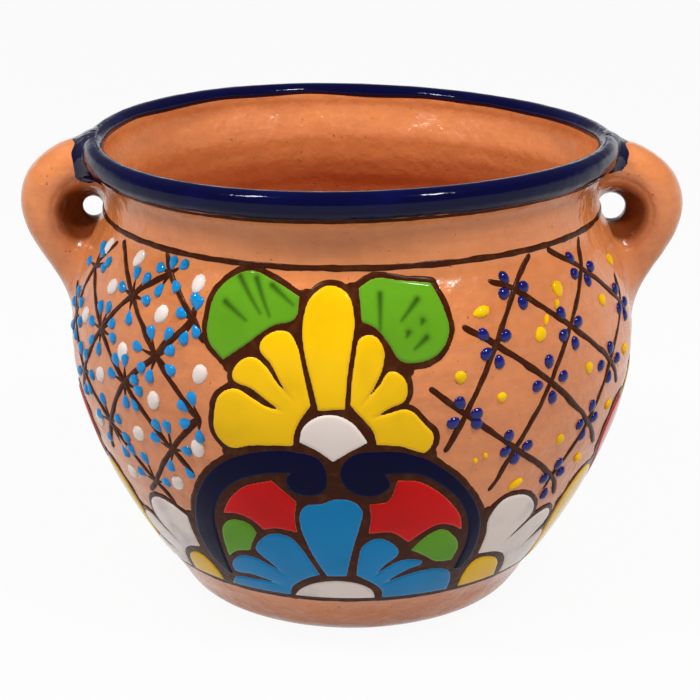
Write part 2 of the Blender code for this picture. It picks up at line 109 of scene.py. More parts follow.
# Relief of glaze laid on the wall
GRID = 0.00075
SEAT = 0.0003
OUTLINE_STEP = 0.0015
GROUND_OVERLAP = 0.0014
WINDOW = 0.0065
CROWN_SHARE = 0.12
CROWN_WIDTH = 4
CUT_LOW = 0.1
CUT_HIGH = 0.9

# Waves of the brown ground's edge, each its size and height, and the gaps that it fills further
GROUND_WAVE = (0.006, 0.0005)
GROUND_RIPPLE = (0.0013, 0.0002)
CLOSE_GAP = 0.0062
CLOSE_GAP_FADE = 0.0015

# Trailed lines: points along them, their hand-drawn waver and swell, and how they narrow at the ends
LINE_STEP = 0.0011
LINE_WAVER = 0.0012
RING_WAVER = 0.0008
WAVER_SCALE = 90.0
SWELL = 0.7
LEAST_WIDTH = 0.65
BRUSH_SIDES = 10
STROKE_TIP = 0.003
TIP_SHARE = 0.5
START_WIDTH = 0.45
END_WIDTH = 0.3
LATTICE_WIDTH = 0.9

# A star's ray: how far it reaches towards its drop, and its widths at start, middle and end
RAY_REACH = 0.72
RAY_WIDTHS = (0.75, 0.6, 0.3)

# Rings round the pot: widths of the base, neck and lip lines, their rise and fall, and points in degrees
RING_WIDTHS = (0.75, 0.9, 0.75)
RING_DRIFT = 0.0003
RING_DRIFTS_ROUND = 3
RING_DEGREES = 2
RING_END = 181
LIP_LINE_DROP = 0.0002

# Glaze drops: facets, half width, half length and height of each sort, and how far each narrows to its tip
DROP_SEGMENTS = 10
DROP_RINGS = 6
STAR_DROP = (0.0026, 0.0037, 0.0014)
CROSSING_DOT = (0.0029, 0.0035, 0.0016)
WHITE_OVAL = (0.0039, 0.0051, 0.0014)
BLOB_HEIGHT = 0.0015
TAPERS = {"turquoise": 0.5, "navy": 0.18, "white": 0.12, "yellow": 0.2}

# Turn of the white ovals in degrees, and its swing from one to the next
OVAL_TURN = -35
OVAL_SWING = 25
OVAL_STEP = 2.4

# Handles
HANDLE_HALF_WIDTH = 0.0175
HANDLE_ROOT_FLARE = 0.006
HANDLE_SQUARENESS = 2.3
HANDLE_STEP = 0.0009
HANDLE_CELL = 0.0009
HANDLE_BLEND = 0.0095
HANDLE_SKIN = 0.0026
HANDLE_REACH = 0.017
HANDLE_DRAWN_IN = 0.0002
HANDLE_CORE = 0.05
HANDLE_LOW = (0.098, -0.052, 0.115)
HANDLE_HIGH = (0.172, 0.052, 0.238)
HOLE_PLACE = (0.1283, 0.1942)
HOLE_BLEND = 0.003
WEB_RADIUS = 0.012
WEB_HALF = 0.003
WEB_BLEND = 0.004
DISH_FROM = 0.005
DISH_TO = 0.019

# Cobalt that ran from the lip on to a handle: its edge's waves, slope and fade, and where it shows
DAB_WAVE = (0.0025, 0.0009)
DAB_FOOT_WAVE = (0.0022, 0.0012)
DAB_SLOPE = 1.4
DAB_FADE = 0.001
DAB_EDGE = (0.35, 0.65)

# Dark glaze pooled round a handle's hole, with painted shade of the hole's dish: its middle from the hole,
# half sizes, edge, fade and strength
POOL_SHADE_OFFSET = (0.0055, -0.0018)
POOL_SHADE_SIZE = (0.0150, 0.0165)
POOL_SHADE_EDGE = 1.15
POOL_SHADE_FADE = 0.45
POOL_SHADE_SIDE = 0.0006
POOL_SHADE_SIDE_FADE = 0.004
POOL_SHADE_STRENGTH = 0.9

# Surface net: parts that a big grid is worked out in, rounds of drawing on to the surface, and least slope
NET_PARTS = 24
NET_ROUNDS = 4
NET_LEAST_SLOPE = 0.2

# Patterns in the finishes: noise scale, detail, the noise values between which one comes up, and its share
PATTERNS = {
    "mottle": (16, 4, 0.35, 0.7, 0.26), "wheel lines": (30, 2, 0.4, 0.75, 0.14),
    "pits": (420, 2, 0.70, 0.76, 0.55), "fine grain": (150, 3, 0.3, 0.7, 0.16),
    "dull spots": (45, 2, 0.3, 0.7, 0.3), "bright streaks": (40, 3, 0.5, 0.8, 0.4),
    "dry streaks": (190, 3, 0.45, 0.75, 0.4), "pooling": (38, 3, 0.4, 0.8, 0.5),
    "grey streaks": (52, 4, 0.45, 0.8, 1),
}
WHEEL_STRETCH = (1, 1, 9)
SMOOTHEST_CLAY = 0.12

# Unevenness of the finishes: noise scale, detail and the bump's height
SKINS = {"lip": (60, 3, 0.0006), "brown": (300, 3, 0.0003), "enamel": (55, 1, 0.0004)}
CLAY_GRAIN = (230, 3)
CLAY_SWELL = (75, 3)
GRAIN_SHARE = 0.35
CLAY_BUMP = 0.0011

# Painted shade down inside the bowl, darker clay where the inner wall lies in shade: the inner wall as a
# cone, and the heights where the shade comes and goes
CONE_RADIUS = 0.1735
CONE_SLOPE = 0.27
CONE_FADE = 0.001
INSIDE_SHADE_BOTTOM = (0.115, 0.145)
INSIDE_SHADE_TOP = (0.13, 0.232, 1, 0.1)
INSIDE_SHADE_SHARE = 0.6

# Roughness and specular level of the finishes
GLOSS = {
    "lip": (0.09, 0.16), "brown": (0.25, 0.07), "white": (0.1, 0.16), "cobalt": (0.07, 0.06),
    "navy": (0.07, 0.35), "turquoise": (0.07, 0.3),
}
ENAMEL_GLOSS = (0.07, 0.1)
CLAY_SPECULAR = 0.46
HANDLE_ROUGHNESS = 0.2
DAB_ROUGHNESS = 0.1

# Lesser colours, and how a glaze changes where it pools or thins
COBALT_STREAK = (0.002, 0.004, 0.07, 1)
# Colour of the pooled glaze and painted shade in a handle's hole
POOL_SHADE_COLOUR = (0.13, 0.022, 0.002, 1)
VEIN_COLOUR = (0.010, 0.040, 0.004, 1)
GREY_STREAK = (0.40, 0.33, 0.35, 1)
WHITE_EDGE = (0.42, 0.27, 0.2, 1)
DARK_EDGE = (0.061, 0.038, 0.013, 1)
CLAY_SHOWING = (0.25, 0.14, 0.08)
GLAZE_LEFT = 0.55
POOLED_SHADE = 0.66
VEIN_STRENGTH = 0.85
THIN_FROM = {"lip": 0.2, "white": 0.75}
ENAMEL_THIN_FROM = 0.72
GREY_LOW_DOWN = (0.03, 0.12, 0.75, 0.35)

# Stage: floor, white paper behind, lamps round the pot in degrees, and camera
FLOOR_HALF = 6
FLOOR_GREY = (0.6, 0.6, 0.6, 1)
FLOOR_WHITE_SHARE = 0.94
FILL_LIGHT = 0.42
PAPER_BY_HEIGHT = (0.04, 0.3, 1, 0.2)
LAMPS = {"light_left": -56, "light_right": 42}
LAMP_POWER = 8
LAMP_SIZE = (0.14, 0.24)
LAMP_RISE = radians(55)
LAMP_DISTANCE = 1.2
LAMP_AIM = (0, 0, 0.12)
IMAGE_WIDTH = 700
SHIFT_PIXELS = (-2.0, 19.4)
SENSOR_WIDTH = 36
LENS = 107.7
CAMERA_TILT = radians(18.577)
CAMERA_DISTANCE = 1.0688
CAMERA_AIM_HEIGHT = 0.108

# Each handle's side, hole radius, how far it was luted higher, and how far out and down the cobalt ran on it
HANDLES = (("right", 1, 0.0076, 0.0, 0.0030, 0.2165), ("left", -1, 0.0054, 0.0010, 0.0036, 0.2105))

# Middle line of a handle: distance out from the neck, height from the waist, half the clay's thickness
HANDLE_LINE = [
    (-0.0065, 0.0122, 0.0130), (0.0085, 0.0102, 0.0136), (0.0180, 0.0066, 0.0138),
    (0.0250, -0.0005, 0.0146), (0.0272, -0.0095, 0.0146), (0.0260, -0.0172, 0.0143),
    (0.0221, -0.0252, 0.0142), (0.0160, -0.0340, 0.0146), (0.0080, -0.0450, 0.0156),
    (-0.0015, -0.0555, 0.0165),
]

# Where the four motifs stand round the pot
MEDALLION_TURN = radians(-4)
SIDE_TURN = radians(91.25)
FRONT_AND_BACK = (("front", MEDALLION_TURN), ("back", MEDALLION_TURN + pi))
RIGHT_AND_LEFT = (("right", MEDALLION_TURN + SIDE_TURN), ("left", MEDALLION_TURN + SIDE_TURN + pi))

# Third entry of an outline's point, where the line turns sharply
CORNER = True

# Low on the bowl the medallion is drawn wider, as a share at its middle that fades out upwards and sidewards
LOW_SPREAD = 0.075
SPREAD_TOP = 56
SPREAD_SIDE = 58

# Medallion: name, finish and outline of each enamel field
MEDALLION = [
    ("leaf_left", "green", [
        (-17.5, 98), (-12, 96), (-6.5, 92.5, CORNER), (-7, 87.5), (-11, 85.5), (-16.5, 80),
        (-20.5, 76, CORNER), (-24, 80.5), (-24.5, 86), (-24, 91), (-21, 96)]),
    ("leaf_right", "green", [
        (5.5, 95, CORNER), (8, 97), (14, 96.5), (20, 95.5, CORNER), (22, 88.5), (22.5, 84),
        (20, 78.5), (17, 77), (13, 77.5), (11, 81.5), (8.5, 85.5), (6, 87, CORNER)]),
    ("yellow_middle", "yellow", [
        (-5.2, 87), (-4, 92.5), (-0.5, 95.5), (3, 93.5), (4.3, 88), (3.7, 80), (3.1, 73),
        (2.6, 66, CORNER), (-2, 65.5, CORNER), (-3.2, 72), (-4.8, 80)]),
    ("yellow_left", "yellow", [
        (-3.6, 66.5, CORNER), (-5, 74.5), (-6.4, 81), (-8, 83.8), (-11, 83.6), (-13.3, 80.2),
        (-10.8, 76), (-8.8, 71.5), (-6.6, 67.5, CORNER), (-9.8, 71.5), (-12, 75.2),
        (-14.5, 77.2), (-17.3, 75.5), (-18.3, 72), (-14.5, 69.8), (-11.5, 67.2),
        (-8.8, 64.8, CORNER), (-11.5, 65.3), (-14.5, 67.2), (-17.8, 69), (-20.5, 67.5),
        (-22, 62), (-21.8, 56.5), (-19.5, 53.8), (-15, 55), (-7, 56, CORNER), (-6.6, 59.5),
        (-5.6, 62.5)]),
    ("yellow_right", "yellow", [
        (3.8, 67, CORNER), (4.1, 74), (4.8, 79), (5.7, 83), (7.8, 83.5), (9.7, 80.5),
        (9.5, 76), (8.2, 72), (5.8, 66.8, CORNER), (9.2, 71.8), (11, 74.8), (13, 73.7),
        (14, 70.5), (13.4, 67.6), (11, 66.2), (7.7, 63.6, CORNER), (10.4, 64.4), (14, 65.2),
        (17, 61.5), (19, 57.6), (18, 54.2), (13, 56), (8.6, 56.7, CORNER), (8, 60),
        (6.5, 62.8), (5, 65)]),
    ("eye_upper", "white", [
        (-5.5, 57, CORNER), (-5, 60.3), (-2.8, 63.2), (0.5, 64.2), (3.8, 62.4), (5.5, 59.8),
        (6.7, 57.2, CORNER), (3.4, 54.6), (0.5, 52, CORNER), (-2.2, 54.8)]),
    ("scroll_left", "cobalt", [
        (-28.8, 5.5, CORNER), (-32, 11.5), (-32.8, 19), (-31.3, 29), (-27.5, 39.5),
        (-21.5, 48.3), (-14.5, 52.8), (-6.5, 54), (-2.2, 52.3), (-0.8, 48), (-1.5, 42.8),
        (-4.5, 41.2), (-8, 43), (-8.5, 45.8), (-7.3, 48, CORNER), (-12.5, 47),
        (-18.5, 43.7), (-23, 38), (-26, 30), (-27, 21), (-27.6, 12), (-27.8, 6.5, CORNER)]),
    ("scroll_right", "cobalt", [
        (30.8, 9.8, CORNER), (32.5, 14.5), (32.8, 22), (31.4, 30.3), (27.5, 39.5),
        (21.6, 48), (15.5, 53.2), (8.5, 54.5), (4, 53.5), (2, 50), (2.2, 45.5), (4.8, 42),
        (9.3, 41.9), (11.1, 44.5), (10, 48, CORNER), (16.5, 47.4), (21.2, 43.5), (25.5, 37.5),
        (28.7, 29.5), (29.8, 22), (29.4, 14.5), (29, 10.8, CORNER)]),
    ("red_left", "red", [
        (-23.2, 32, CORNER), (-21, 37), (-17.5, 41.8), (-11.5, 45, CORNER), (-10, 43),
        (-7, 39, CORNER), (-7.6, 34), (-7.6, 28.6, CORNER), (-12.3, 29.2),
        (-14.6, 28.2, CORNER), (-16.9, 31.2), (-20, 32.6)]),
    ("red_right", "red", [
        (12.6, 45.8, CORNER), (16, 45.3), (20, 42), (23.8, 36.8), (26.5, 31.5),
        (27.4, 27.2, CORNER), (24.8, 29.4), (21.5, 30.2), (19.2, 28.6), (15.8, 24.8, CORNER),
        (12, 28.8), (7.4, 28.8, CORNER), (7.7, 34.5), (7.4, 38.6, CORNER), (11, 39.6),
        (12.1, 43)]),
    ("bud_left", "green", [
        (-24.5, 26.3), (-21, 30), (-17.6, 29), (-16.6, 26.5, CORNER), (-18.2, 22.5),
        (-19.4, 19.2, CORNER), (-23, 17.8), (-25.8, 15, CORNER), (-25.5, 21)]),
    ("bud_right", "green", [
        (16.8, 21.5, CORNER), (19.5, 26), (22.5, 28), (25.8, 25), (27.8, 20),
        (27.2, 15.2, CORNER), (23.5, 15.6), (19.8, 19)]),
    ("blue_middle", "blue", [
        (-6.3, 35), (-5, 37.8), (-2, 38.6), (0.6, 40.2), (4, 39.6), (5.8, 36.5), (5.4, 32),
        (4.3, 25.5), (3.2, 18), (2.4, 11.8, CORNER), (-1.9, 11.6, CORNER), (-4, 18),
        (-5.8, 26), (-6.5, 31)]),
    ("blue_left", "blue", [
        (-3.8, 12, CORNER), (-5.4, 17), (-7.2, 22.5), (-9.2, 26.2), (-12.3, 27),
        (-15.6, 24.3), (-17.6, 19.5), (-15.4, 15.9), (-12.3, 11.2, CORNER), (-15.6, 13.9),
        (-18.5, 16), (-22, 15.9), (-25, 13), (-26.4, 9.2), (-21, 8.4), (-14.5, 6.2, CORNER),
        (-21, 6.2), (-27, 5), (-29.4, 1.6, CORNER), (-12.3, 1.6, CORNER), (-11.6, 4.5),
        (-9.2, 8), (-6.2, 10.6)]),
    ("blue_right", "blue", [
        (5, 12, CORNER), (5.3, 18), (6.7, 24.8), (9.2, 26.6), (11.8, 25), (13.8, 20.5),
        (11.3, 16.5), (8.6, 11.2, CORNER), (10.9, 14), (13.8, 16.9), (17, 17.6),
        (19.7, 15.6), (17.3, 14.1), (14.8, 12), (11, 7.8, CORNER), (15.3, 10.4),
        (19.5, 12), (24.3, 12.1), (27.6, 10), (29, 6.3), (29.3, 1.6, CORNER),
        (11.6, 1.6, CORNER), (11.3, 4.6), (9.2, 8), (6.8, 10.4)]),
    ("eye_lower", "white", [
        (-10.8, 1.6, CORNER), (-9.2, 4.2), (-6, 7.2), (-1.7, 9), (2.7, 9), (6, 7.6),
        (8.7, 4.6), (9.4, 1.6, CORNER)]),
    ("daisy_left", "white", [
        (-35, 15, CORNER), (-34.9, 21), (-34.4, 26.6, CORNER), (-38.5, 29.4), (-43, 29.8),
        (-47.2, 25.8), (-48, 20.5), (-45.6, 15.8), (-43, 12.4, CORNER), (-47.6, 15.8),
        (-52.5, 20), (-56.5, 18.3), (-57, 13), (-53.5, 9.6), (-48.5, 7.4, CORNER),
        (-54, 7.9), (-58.5, 9), (-61, 5.5), (-60.3, 1.6, CORNER), (-47, 1.6, CORNER),
        (-46, 5.6), (-43.6, 9.8), (-39.6, 13.2)]),
    ("daisy_left_eye", "yellow", [
        (-33, 1.6, CORNER), (-33.7, 7), (-36.2, 11), (-40.3, 10), (-43.1, 7),
        (-44.6, 1.6, CORNER)]),
    ("daisy_right", "white", [
        (34.8, 15.3, CORNER), (34.9, 22), (34.2, 29.5), (36.5, 34.4), (40.5, 34.8),
        (45, 31.8), (47.6, 26.3), (44.5, 20.8), (41, 16, CORNER), (45.3, 19.8),
        (50.3, 24), (54.5, 24.4), (57.2, 21), (54.5, 15.4), (49.6, 10.6, CORNER),
        (55.5, 13.6), (59.3, 14.6), (61.4, 11), (61.8, 5.5), (61, 1.6, CORNER),
        (49, 1.6, CORNER), (48.2, 5.6), (45.2, 10.8), (40.5, 14)]),
    ("daisy_right_eye", "yellow", [
        (33.2, 1.6, CORNER), (33, 7), (34.5, 12.2), (39.6, 12), (43.8, 8.4),
        (46.4, 1.6, CORNER)]),
]

# Flower under each handle: its left petals, which are mirrored to the right, and its middle
SIDE_PETALS = [
    ("low", "yellow", [
        (-10.6, 1.6, CORNER), (-26.8, 1.6, CORNER), (-29, 10), (-30.8, 20), (-30, 28),
        (-26, 33), (-21, 32), (-15.8, 23), (-9.2, 10.4, CORNER), (-10.3, 5.5)]),
    ("high", "red", [
        (-7.8, 11.6, CORNER), (-13.2, 23.5), (-18.8, 34.5), (-21.6, 41), (-20, 48.5),
        (-15.5, 51.5), (-10.8, 48), (-7.7, 38), (-5.5, 26), (-3.4, 13.8, CORNER)]),
]
SIDE_MIDDLE = [
    ("middle", "yellow", [
        (-1.9, 14.2, CORNER), (-3.6, 27), (-5.6, 38), (-6.8, 47), (-5, 54), (0, 57),
        (5, 54), (6.8, 47), (5.6, 38), (3.6, 27), (1.9, 14.2, CORNER)]),
    ("eye", "white", [
        (-8.6, 1.6, CORNER), (-7.6, 6), (-4.2, 9.8), (0, 11.2), (4.2, 9.8), (7.6, 6),
        (8.6, 1.6, CORNER)]),
]

# Lattice lines, left and right of the medallion
LEFT_LATTICE = [
    [(-56, 98), (-45.4, 86.2), (-36.1, 73.4), (-25.7, 59.7)],
    [(-64.4, 88), (-54.3, 74.7), (-44.8, 63.7), (-33, 49.1), (-28.5, 43)],
    [(-76, 80), (-70.4, 73.1), (-62.9, 60.3), (-52.7, 49.7), (-41, 36), (-36.5, 30)],
    [(-39.5, 99), (-36.6, 94.2), (-28.1, 84.2), (-25, 79)],
    [(-36.6, 94.2), (-45.4, 86.2), (-54.3, 74.7), (-62.9, 60.3), (-67, 52)],
    [(-28.1, 84.2), (-36.1, 73.4), (-44.8, 63.7), (-52.7, 49.7), (-57, 40)],
    [(-25.7, 59.7), (-33, 49.1), (-41, 36), (-45, 31)],
    [(-58.5, 97), (-64.4, 88), (-70.4, 73.1), (-73, 66)],
]
RIGHT_LATTICE = [
    [(45.1, 98.9), (38.4, 91.4), (32, 78.9), (25.3, 62.6), (21.5, 53.1)],
    [(63.8, 98.9), (59.7, 91.7), (51.1, 78.9), (44.3, 66.5), (36.8, 50.6), (32.1, 38.6)],
    [(74.2, 85.5), (73.4, 77.8), (64.9, 65.3), (58.1, 50.8), (49.9, 37.3), (48.6, 33.4)],
    [(32.6, 94.5), (38.4, 91.4), (51.1, 78.9), (64.9, 65.3), (70.1, 57.2)],
    [(50.6, 99.3), (59.7, 91.7), (73.4, 77.8), (78, 72)],
    [(25.5, 84.3), (32, 78.9), (44.3, 66.5), (58.1, 50.8), (65.3, 41.4)],
    [(18.3, 70.3), (25.3, 62.6), (36.8, 50.6), (49.9, 37.3), (54.8, 29.3)],
]

# Left stars: place of the star, and direction and millimetres from it to each turquoise drop
STARS = [
    ((-36.6, 94.2), ((172, 7.4), (94, 4.8), (35, 8.4), (-41, 8.1), (-113, 9.5))),
    ((-45.4, 86.2), ((101, 10.2), (54, 11.1), (171, 9.6), (-2, 10.2), (-83, 10.6))),
    ((-64.4, 88), ((94, 9.7), (59, 9), (-178, 10.9), (21, 15.1), (10, 11.4))),
    ((-28.1, 84.2), ((80, 7.6), (98, 8.8), (167, 7.3), (-62, 5.4), (-111, 9.5))),
    ((-36.1, 73.4), ((114, 10.6), (59, 12.7), (24, 9), (-27, 10.5), (-106, 10.6), (-139, 10.9), (173, 12.2))),
    ((-54.3, 74.7), ((111, 10), (69, 11.6), (177, 10.6), (25, 10.4), (-7, 11.6), (-138, 11.6), (-93, 9.8))),
    ((-70.4, 73.1), ((95, 10), (40, 10.6), (-10, 9.8), (-70, 10.4), (-130, 10), (170, 10.8))),
    ((-62.9, 60.3), ((110, 10.4), (60, 10), (5, 10.8), (-50, 9.6), (-100, 10.4), (-160, 10))),
    ((-44.8, 63.7), ((127, 11.4), (88, 10.9), (171, 10.5), (24, 7.6), (-8, 10), (-91, 9.5), (-53, 11.3))),
    ((-25.7, 59.7), ((109, 9.5), (151, 9.4), (-154, 8.5), (-92, 8.7))),
    ((-33, 49.1), ((126, 13), (94, 11.3), (162, 10.5), (7, 8.7), (-110, 10.8), (-56, 13.6))),
    ((-52.7, 49.7), ((180, 12), (24, 9.2), (-125, 11.9), (-20, 13.1), (-65, 15.9), (106, 11.2))),
    ((-41, 36), ((170, 10.8), (102, 12.7), (131, 19.1), (12, 8.6))),
]

# Right crossings: place of the crossing, and direction and millimetres from it to each navy dot
CROSSINGS = [
    ((38.4, 91.4), ((125, 7.1), (1, 5.6), (-170, 6.6), (-67, 7.5))),
    ((59.7, 91.7), ((134, 8.4), (-10, 9), (-169, 7.6), (-76, 7))),
    ((73.4, 77.8), ((117, 8.3), (-15, 8), (-152, 4.1), (-61, 8.7))),
    ((32, 78.9), ((139, 7.8), (28, 6.4), (-146, 6.3), (-83, 8.1))),
    ((51.1, 78.9), ((125, 8.5), (6, 6.1), (-152, 6.5), (-78, 8.6))),
    ((64.9, 65.3), ((93, 6.2), (-9, 8.7), (178, 10.4), (-101, 7.9))),
    ((25.3, 62.6), ((117, 6.5), (-152, 6.8), (-3, 5.2), (-43, 7.3))),
    ((44.3, 66.5), ((93, 9.9), (6, 8.4), (-179, 8.1), (-80, 7.7))),
    ((58.1, 50.8), ((85, 8.1), (4, 5.9), (174, 7.3), (-113, 6.7))),
    ((36.8, 50.6), ((123, 9.2), (-1, 7), (-174, 5.6), (-83, 5.7))),
    ((49.9, 37.3), ((74, 7), (1, 7.3), (176, 5.9), (-91, 10.7))),
]

# White ovals among the left stars: place of each
WHITE_OVALS = [
    (-47.5, 95.3), (-61.6, 94.5), (-53.2, 86), (-28.7, 93), (-36.1, 83.7), (-62.8, 75.2),
    (-45.6, 71.4), (-54, 62.5), (-25.4, 71.2), (-36.5, 61.6), (-42.4, 50.3), (-26.6, 51.1),
    (-50.2, 35.3), (-33.9, 38.1), (-58.8, 48.3),
]

# Yellow blobs: place, half width and half length in millimetres, and turn in degrees
YELLOW_BLOBS = [
    ((29.8, 87.2), 2.6, 4.9, -78), ((49.8, 88.7), 3.7, 4.3, 10), ((48.3, 85.2), 1.3, 2.6, -30),
    ((42.6, 79), 3.3, 3.9, -40), ((44.6, 82.2), 1.2, 3, -25), ((74.4, 89), 3, 3.5, 20),
    ((64.1, 81.5), 2.9, 3.3, 10), ((56, 66.5), 2.8, 3.1, 0), ((24.3, 72.1), 3, 3.1, 0),
    ((73.8, 64.9), 3, 3.1, 0), ((32.7, 65.6), 2.6, 2.5, 0), ((48.9, 49.1), 2.8, 3.1, -20),
    ((27.8, 49.3), 1.3, 1.5, 0), ((29.9, 50.4), 1.2, 1.5, 0), ((38.7, 39), 2.3, 4.6, -62),
    ((67, 52.1), 3, 3.1, 0), ((58.8, 39.5), 2.7, 2.9, 0),
]

# Dark veins smudged into the leaves, each from its broad end to its thin end
VEINS = [
    ((-21.4, 89.8), (-16.5, 85.9)), ((-19.4, 96.5), (-13.8, 87.9)), ((-15.7, 96.4), (-11.9, 87.5)),
    ((-12.2, 95), (-7.4, 90.5)), ((9.5, 93.4), (9.3, 84.9)), ((16.8, 91.8), (13.4, 86.9)),
    ((18, 82.6), (15.6, 80)), ((14.6, 84), (14.2, 83)), ((17.5, 86.6), (17.2, 85.8)),
]
VEIN_HALF = 0.0016
VEIN_TAPER = 0.5
VEIN_FADE = 0.3


def length(name, default, least, most, description):
    """A size in metres that the user may change."""
    return FloatProperty(
        name=name, description=description, default=default, min=least, max=most, unit="LENGTH")


def tint(name, red, green, blue, description):
    """A colour that the user may change."""
    return FloatVectorProperty(
        name=name, description=description, subtype="COLOR", size=4, default=(red, green, blue, 1))


class PlanterSizes(bpy.types.PropertyGroup):
    """Sizes of the clay's finish and of the laid glazes."""

    segments: IntProperty(
        name="Segments", description="Facets round the turned pieces", default=288, min=48, max=360)
    ripple_height: length("Ripple height", 0.00014, 0, 0.001, "Height of the finger ripples left by throwing")
    ripple_pitch: length("Ripple pitch", 0.0115, 0.004, 0.03, "Distance between two finger ripples")
    rim_sag: length("Rim sag", 0.0017, 0, 0.004, "How far the soft rim has sunk on the whole")
    rim_tilt: length("Rim tilt", 0.0004, 0, 0.002, "Rise and fall of the rim from one side to the other")
    rim_twist: length("Rim twist", 0.0015, 0, 0.002, "Rise and fall of the rim twice round the pot")
    lip_glaze: length("Lip glaze", 0.0012, 0.0003, 0.002, "Thickness of the cobalt glaze over the lip")
    enamel_height: length("Enamel height", 0.00101, 0.0003, 0.002, "How far a field stands off the clay")
    enamel_roll: length("Enamel roll", 0.0018, 0.0005, 0.005, "Width of an enamel field's rounded edge")
    field_swell: length("Field swell", 0.0006, 0, 0.002, "How far a field has flowed over the brown slip")
    thin_line: length("Thin line", 0.0016, 0.0005, 0.004, "Brown left between two fields that nearly touch")
    ground_height: length("Ground height", 0.00045, 0.0001, 0.001, "How far the slip stands off the clay")
    ground_margin: length("Ground margin", 0.0032, 0.001, 0.006, "How far the slip reaches out past a field")
    gap_fill: length("Gap fill", 0.0022, 0, 0.005, "How much further the slip reaches in a narrow gap")
    line_width: length("Line width", 0.0034, 0.001, 0.006, "Width of a trailed brown line")
    line_flatness: FloatProperty(
        name="Line flatness", description="Height of a trailed line as a share of its half width",
        default=0.36, min=0.1, max=1, subtype="FACTOR")
    drop_distance: FloatProperty(
        name="Drop distance", description="Scale of the distances from a star or crossing to its drops",
        default=1.0, min=0.5, max=1.5)


class PlanterColours(bpy.types.PropertyGroup):
    """Colours of the clay and the glazes."""

    clay: tint("Clay", 0.74, 0.25, 0.082, "Fired clay under clear glaze")
    # Dark clay: the tone of the clay's mottle, and also the painted shade down inside the bowl
    clay_mottle_and_shade: tint("Dark clay", 0.44, 0.112, 0.028, "Clay where the glaze has pooled or smoked")
    cobalt: tint("Cobalt", 0.0010, 0.0012, 0.028, "Cobalt glaze of the lip and scrolls")
    brown: tint("Brown slip", 0.050, 0.0095, 0.002, "Trailed brown slip")
    brown_thin: tint("Thin brown slip", 0.12, 0.042, 0.012, "Brown slip where it is thin")
    yellow: tint("Yellow", 0.90, 0.52, 0.002, "Yellow enamel")
    green: tint("Green", 0.115, 0.325, 0.012, "Green enamel")
    red: tint("Red", 0.62, 0.0006, 0.0006, "Red enamel")
    blue: tint("Blue", 0.0005, 0.215, 0.50, "Blue enamel")
    white: tint("White", 0.80, 0.69, 0.63, "White enamel")
    turquoise: tint("Turquoise", 0.0008, 0.235, 0.58, "Turquoise drops")
    navy: tint("Navy", 0.006, 0.008, 0.14, "Navy dots")


class Socket:
    """An output socket of a node. Plain arithmetic on it adds Math nodes."""

    def __init__(self, maker, socket):
        self.maker = maker
        self.socket = socket

    def math(self, operation, *others):
        return self.maker.math(operation, self, *others)

    def __add__(self, other):
        return self.math("ADD", other)

    def __radd__(self, other):
        return self.maker.math("ADD", other, self)

    def __sub__(self, other):
        return self.math("SUBTRACT", other)

    def __rsub__(self, other):
        return self.maker.math("SUBTRACT", other, self)

    def __mul__(self, other):
        return self.math("MULTIPLY", other)

    def __rmul__(self, other):
        return self.maker.math("MULTIPLY", other, self)

    def __truediv__(self, other):
        return self.math("DIVIDE", other)

    def __rtruediv__(self, other):
        return self.maker.math("DIVIDE", other, self)

    def sine(self):
        return self.math("SINE")

    def cosine(self):
        return self.math("COSINE")

    def parts(self):
        """X, Y and Z of a vector."""
        return [self.maker.node("ShaderNodeSeparateXYZ", {0: self}, out=axis) for axis in "XYZ"]

    def ramp(self, low, high, bottom=0.0, top=1.0):
        """Smooth step of the value from bottom at low to top at high."""
        return self.maker.node("ShaderNodeMapRange", {0: self, 1: low, 2: high, 3: bottom, 4: top},
                               interpolation_type="SMOOTHSTEP")


class Maker:
    """Adds nodes to a tree: settings first, then the values or links of the sockets."""

    def __init__(self, tree):
        self.tree = tree

    def node(self, kind, values=None, out=0, **settings):
        made = self.tree.nodes.new(kind)
        for name, value in settings.items():
            setattr(made, name, value)
        for name, value in (values or {}).items():
            if isinstance(value, Socket):
                self.tree.links.new(value.socket, made.inputs[name])
            else:
                made.inputs[name].default_value = value
        return Socket(self, made.outputs[out]) if made.outputs else made

    def math(self, operation, *values):
        return self.node("ShaderNodeMath", dict(enumerate(values)), operation=operation)

    def vector(self, x, y, z):
        return self.node("ShaderNodeCombineXYZ", {"X": x, "Y": y, "Z": z})

    def mix(self, share, first, second):
        """Colour between two colours."""
        return self.node("ShaderNodeMix", {0: share, 6: first, 7: second}, out=2, data_type="RGBA")

    def attribute(self, name, kind="FLOAT"):
        """A named attribute, read in a geometry tree."""
        return self.node("GeometryNodeInputNamedAttribute", {"Name": name}, data_type=kind)


def put(name, data):
    """An object of this data, in the scene."""
    made = bpy.data.objects.new(name, data)
    bpy.context.scene.collection.objects.link(made)
    return made


def mark(mesh, name, numbers, kind="FLOAT", field="value"):
    """Give a mesh's points a named attribute."""
    numbers = np.asarray(numbers, np.float32).ravel()
    mesh.attributes.new(name, kind, "POINT").data.foreach_set(field, numbers)


def geometry_tree(name, inputs):
    """A geometry tree with named inputs. Returns its maker and its inputs as sockets by name."""
    tree = bpy.data.node_groups.new(name, "GeometryNodeTree")
    tree.interface.new_socket("Geometry", in_out="OUTPUT", socket_type="NodeSocketGeometry")
    for label, kind in {"Geometry": "Geometry", **inputs}.items():
        tree.interface.new_socket(label, in_out="INPUT", socket_type="NodeSocket" + kind)
    maker = Maker(tree)
    group_in = tree.nodes.new("NodeGroupInput")
    return maker, {s.name: Socket(maker, s) for s in group_in.outputs if s.name}


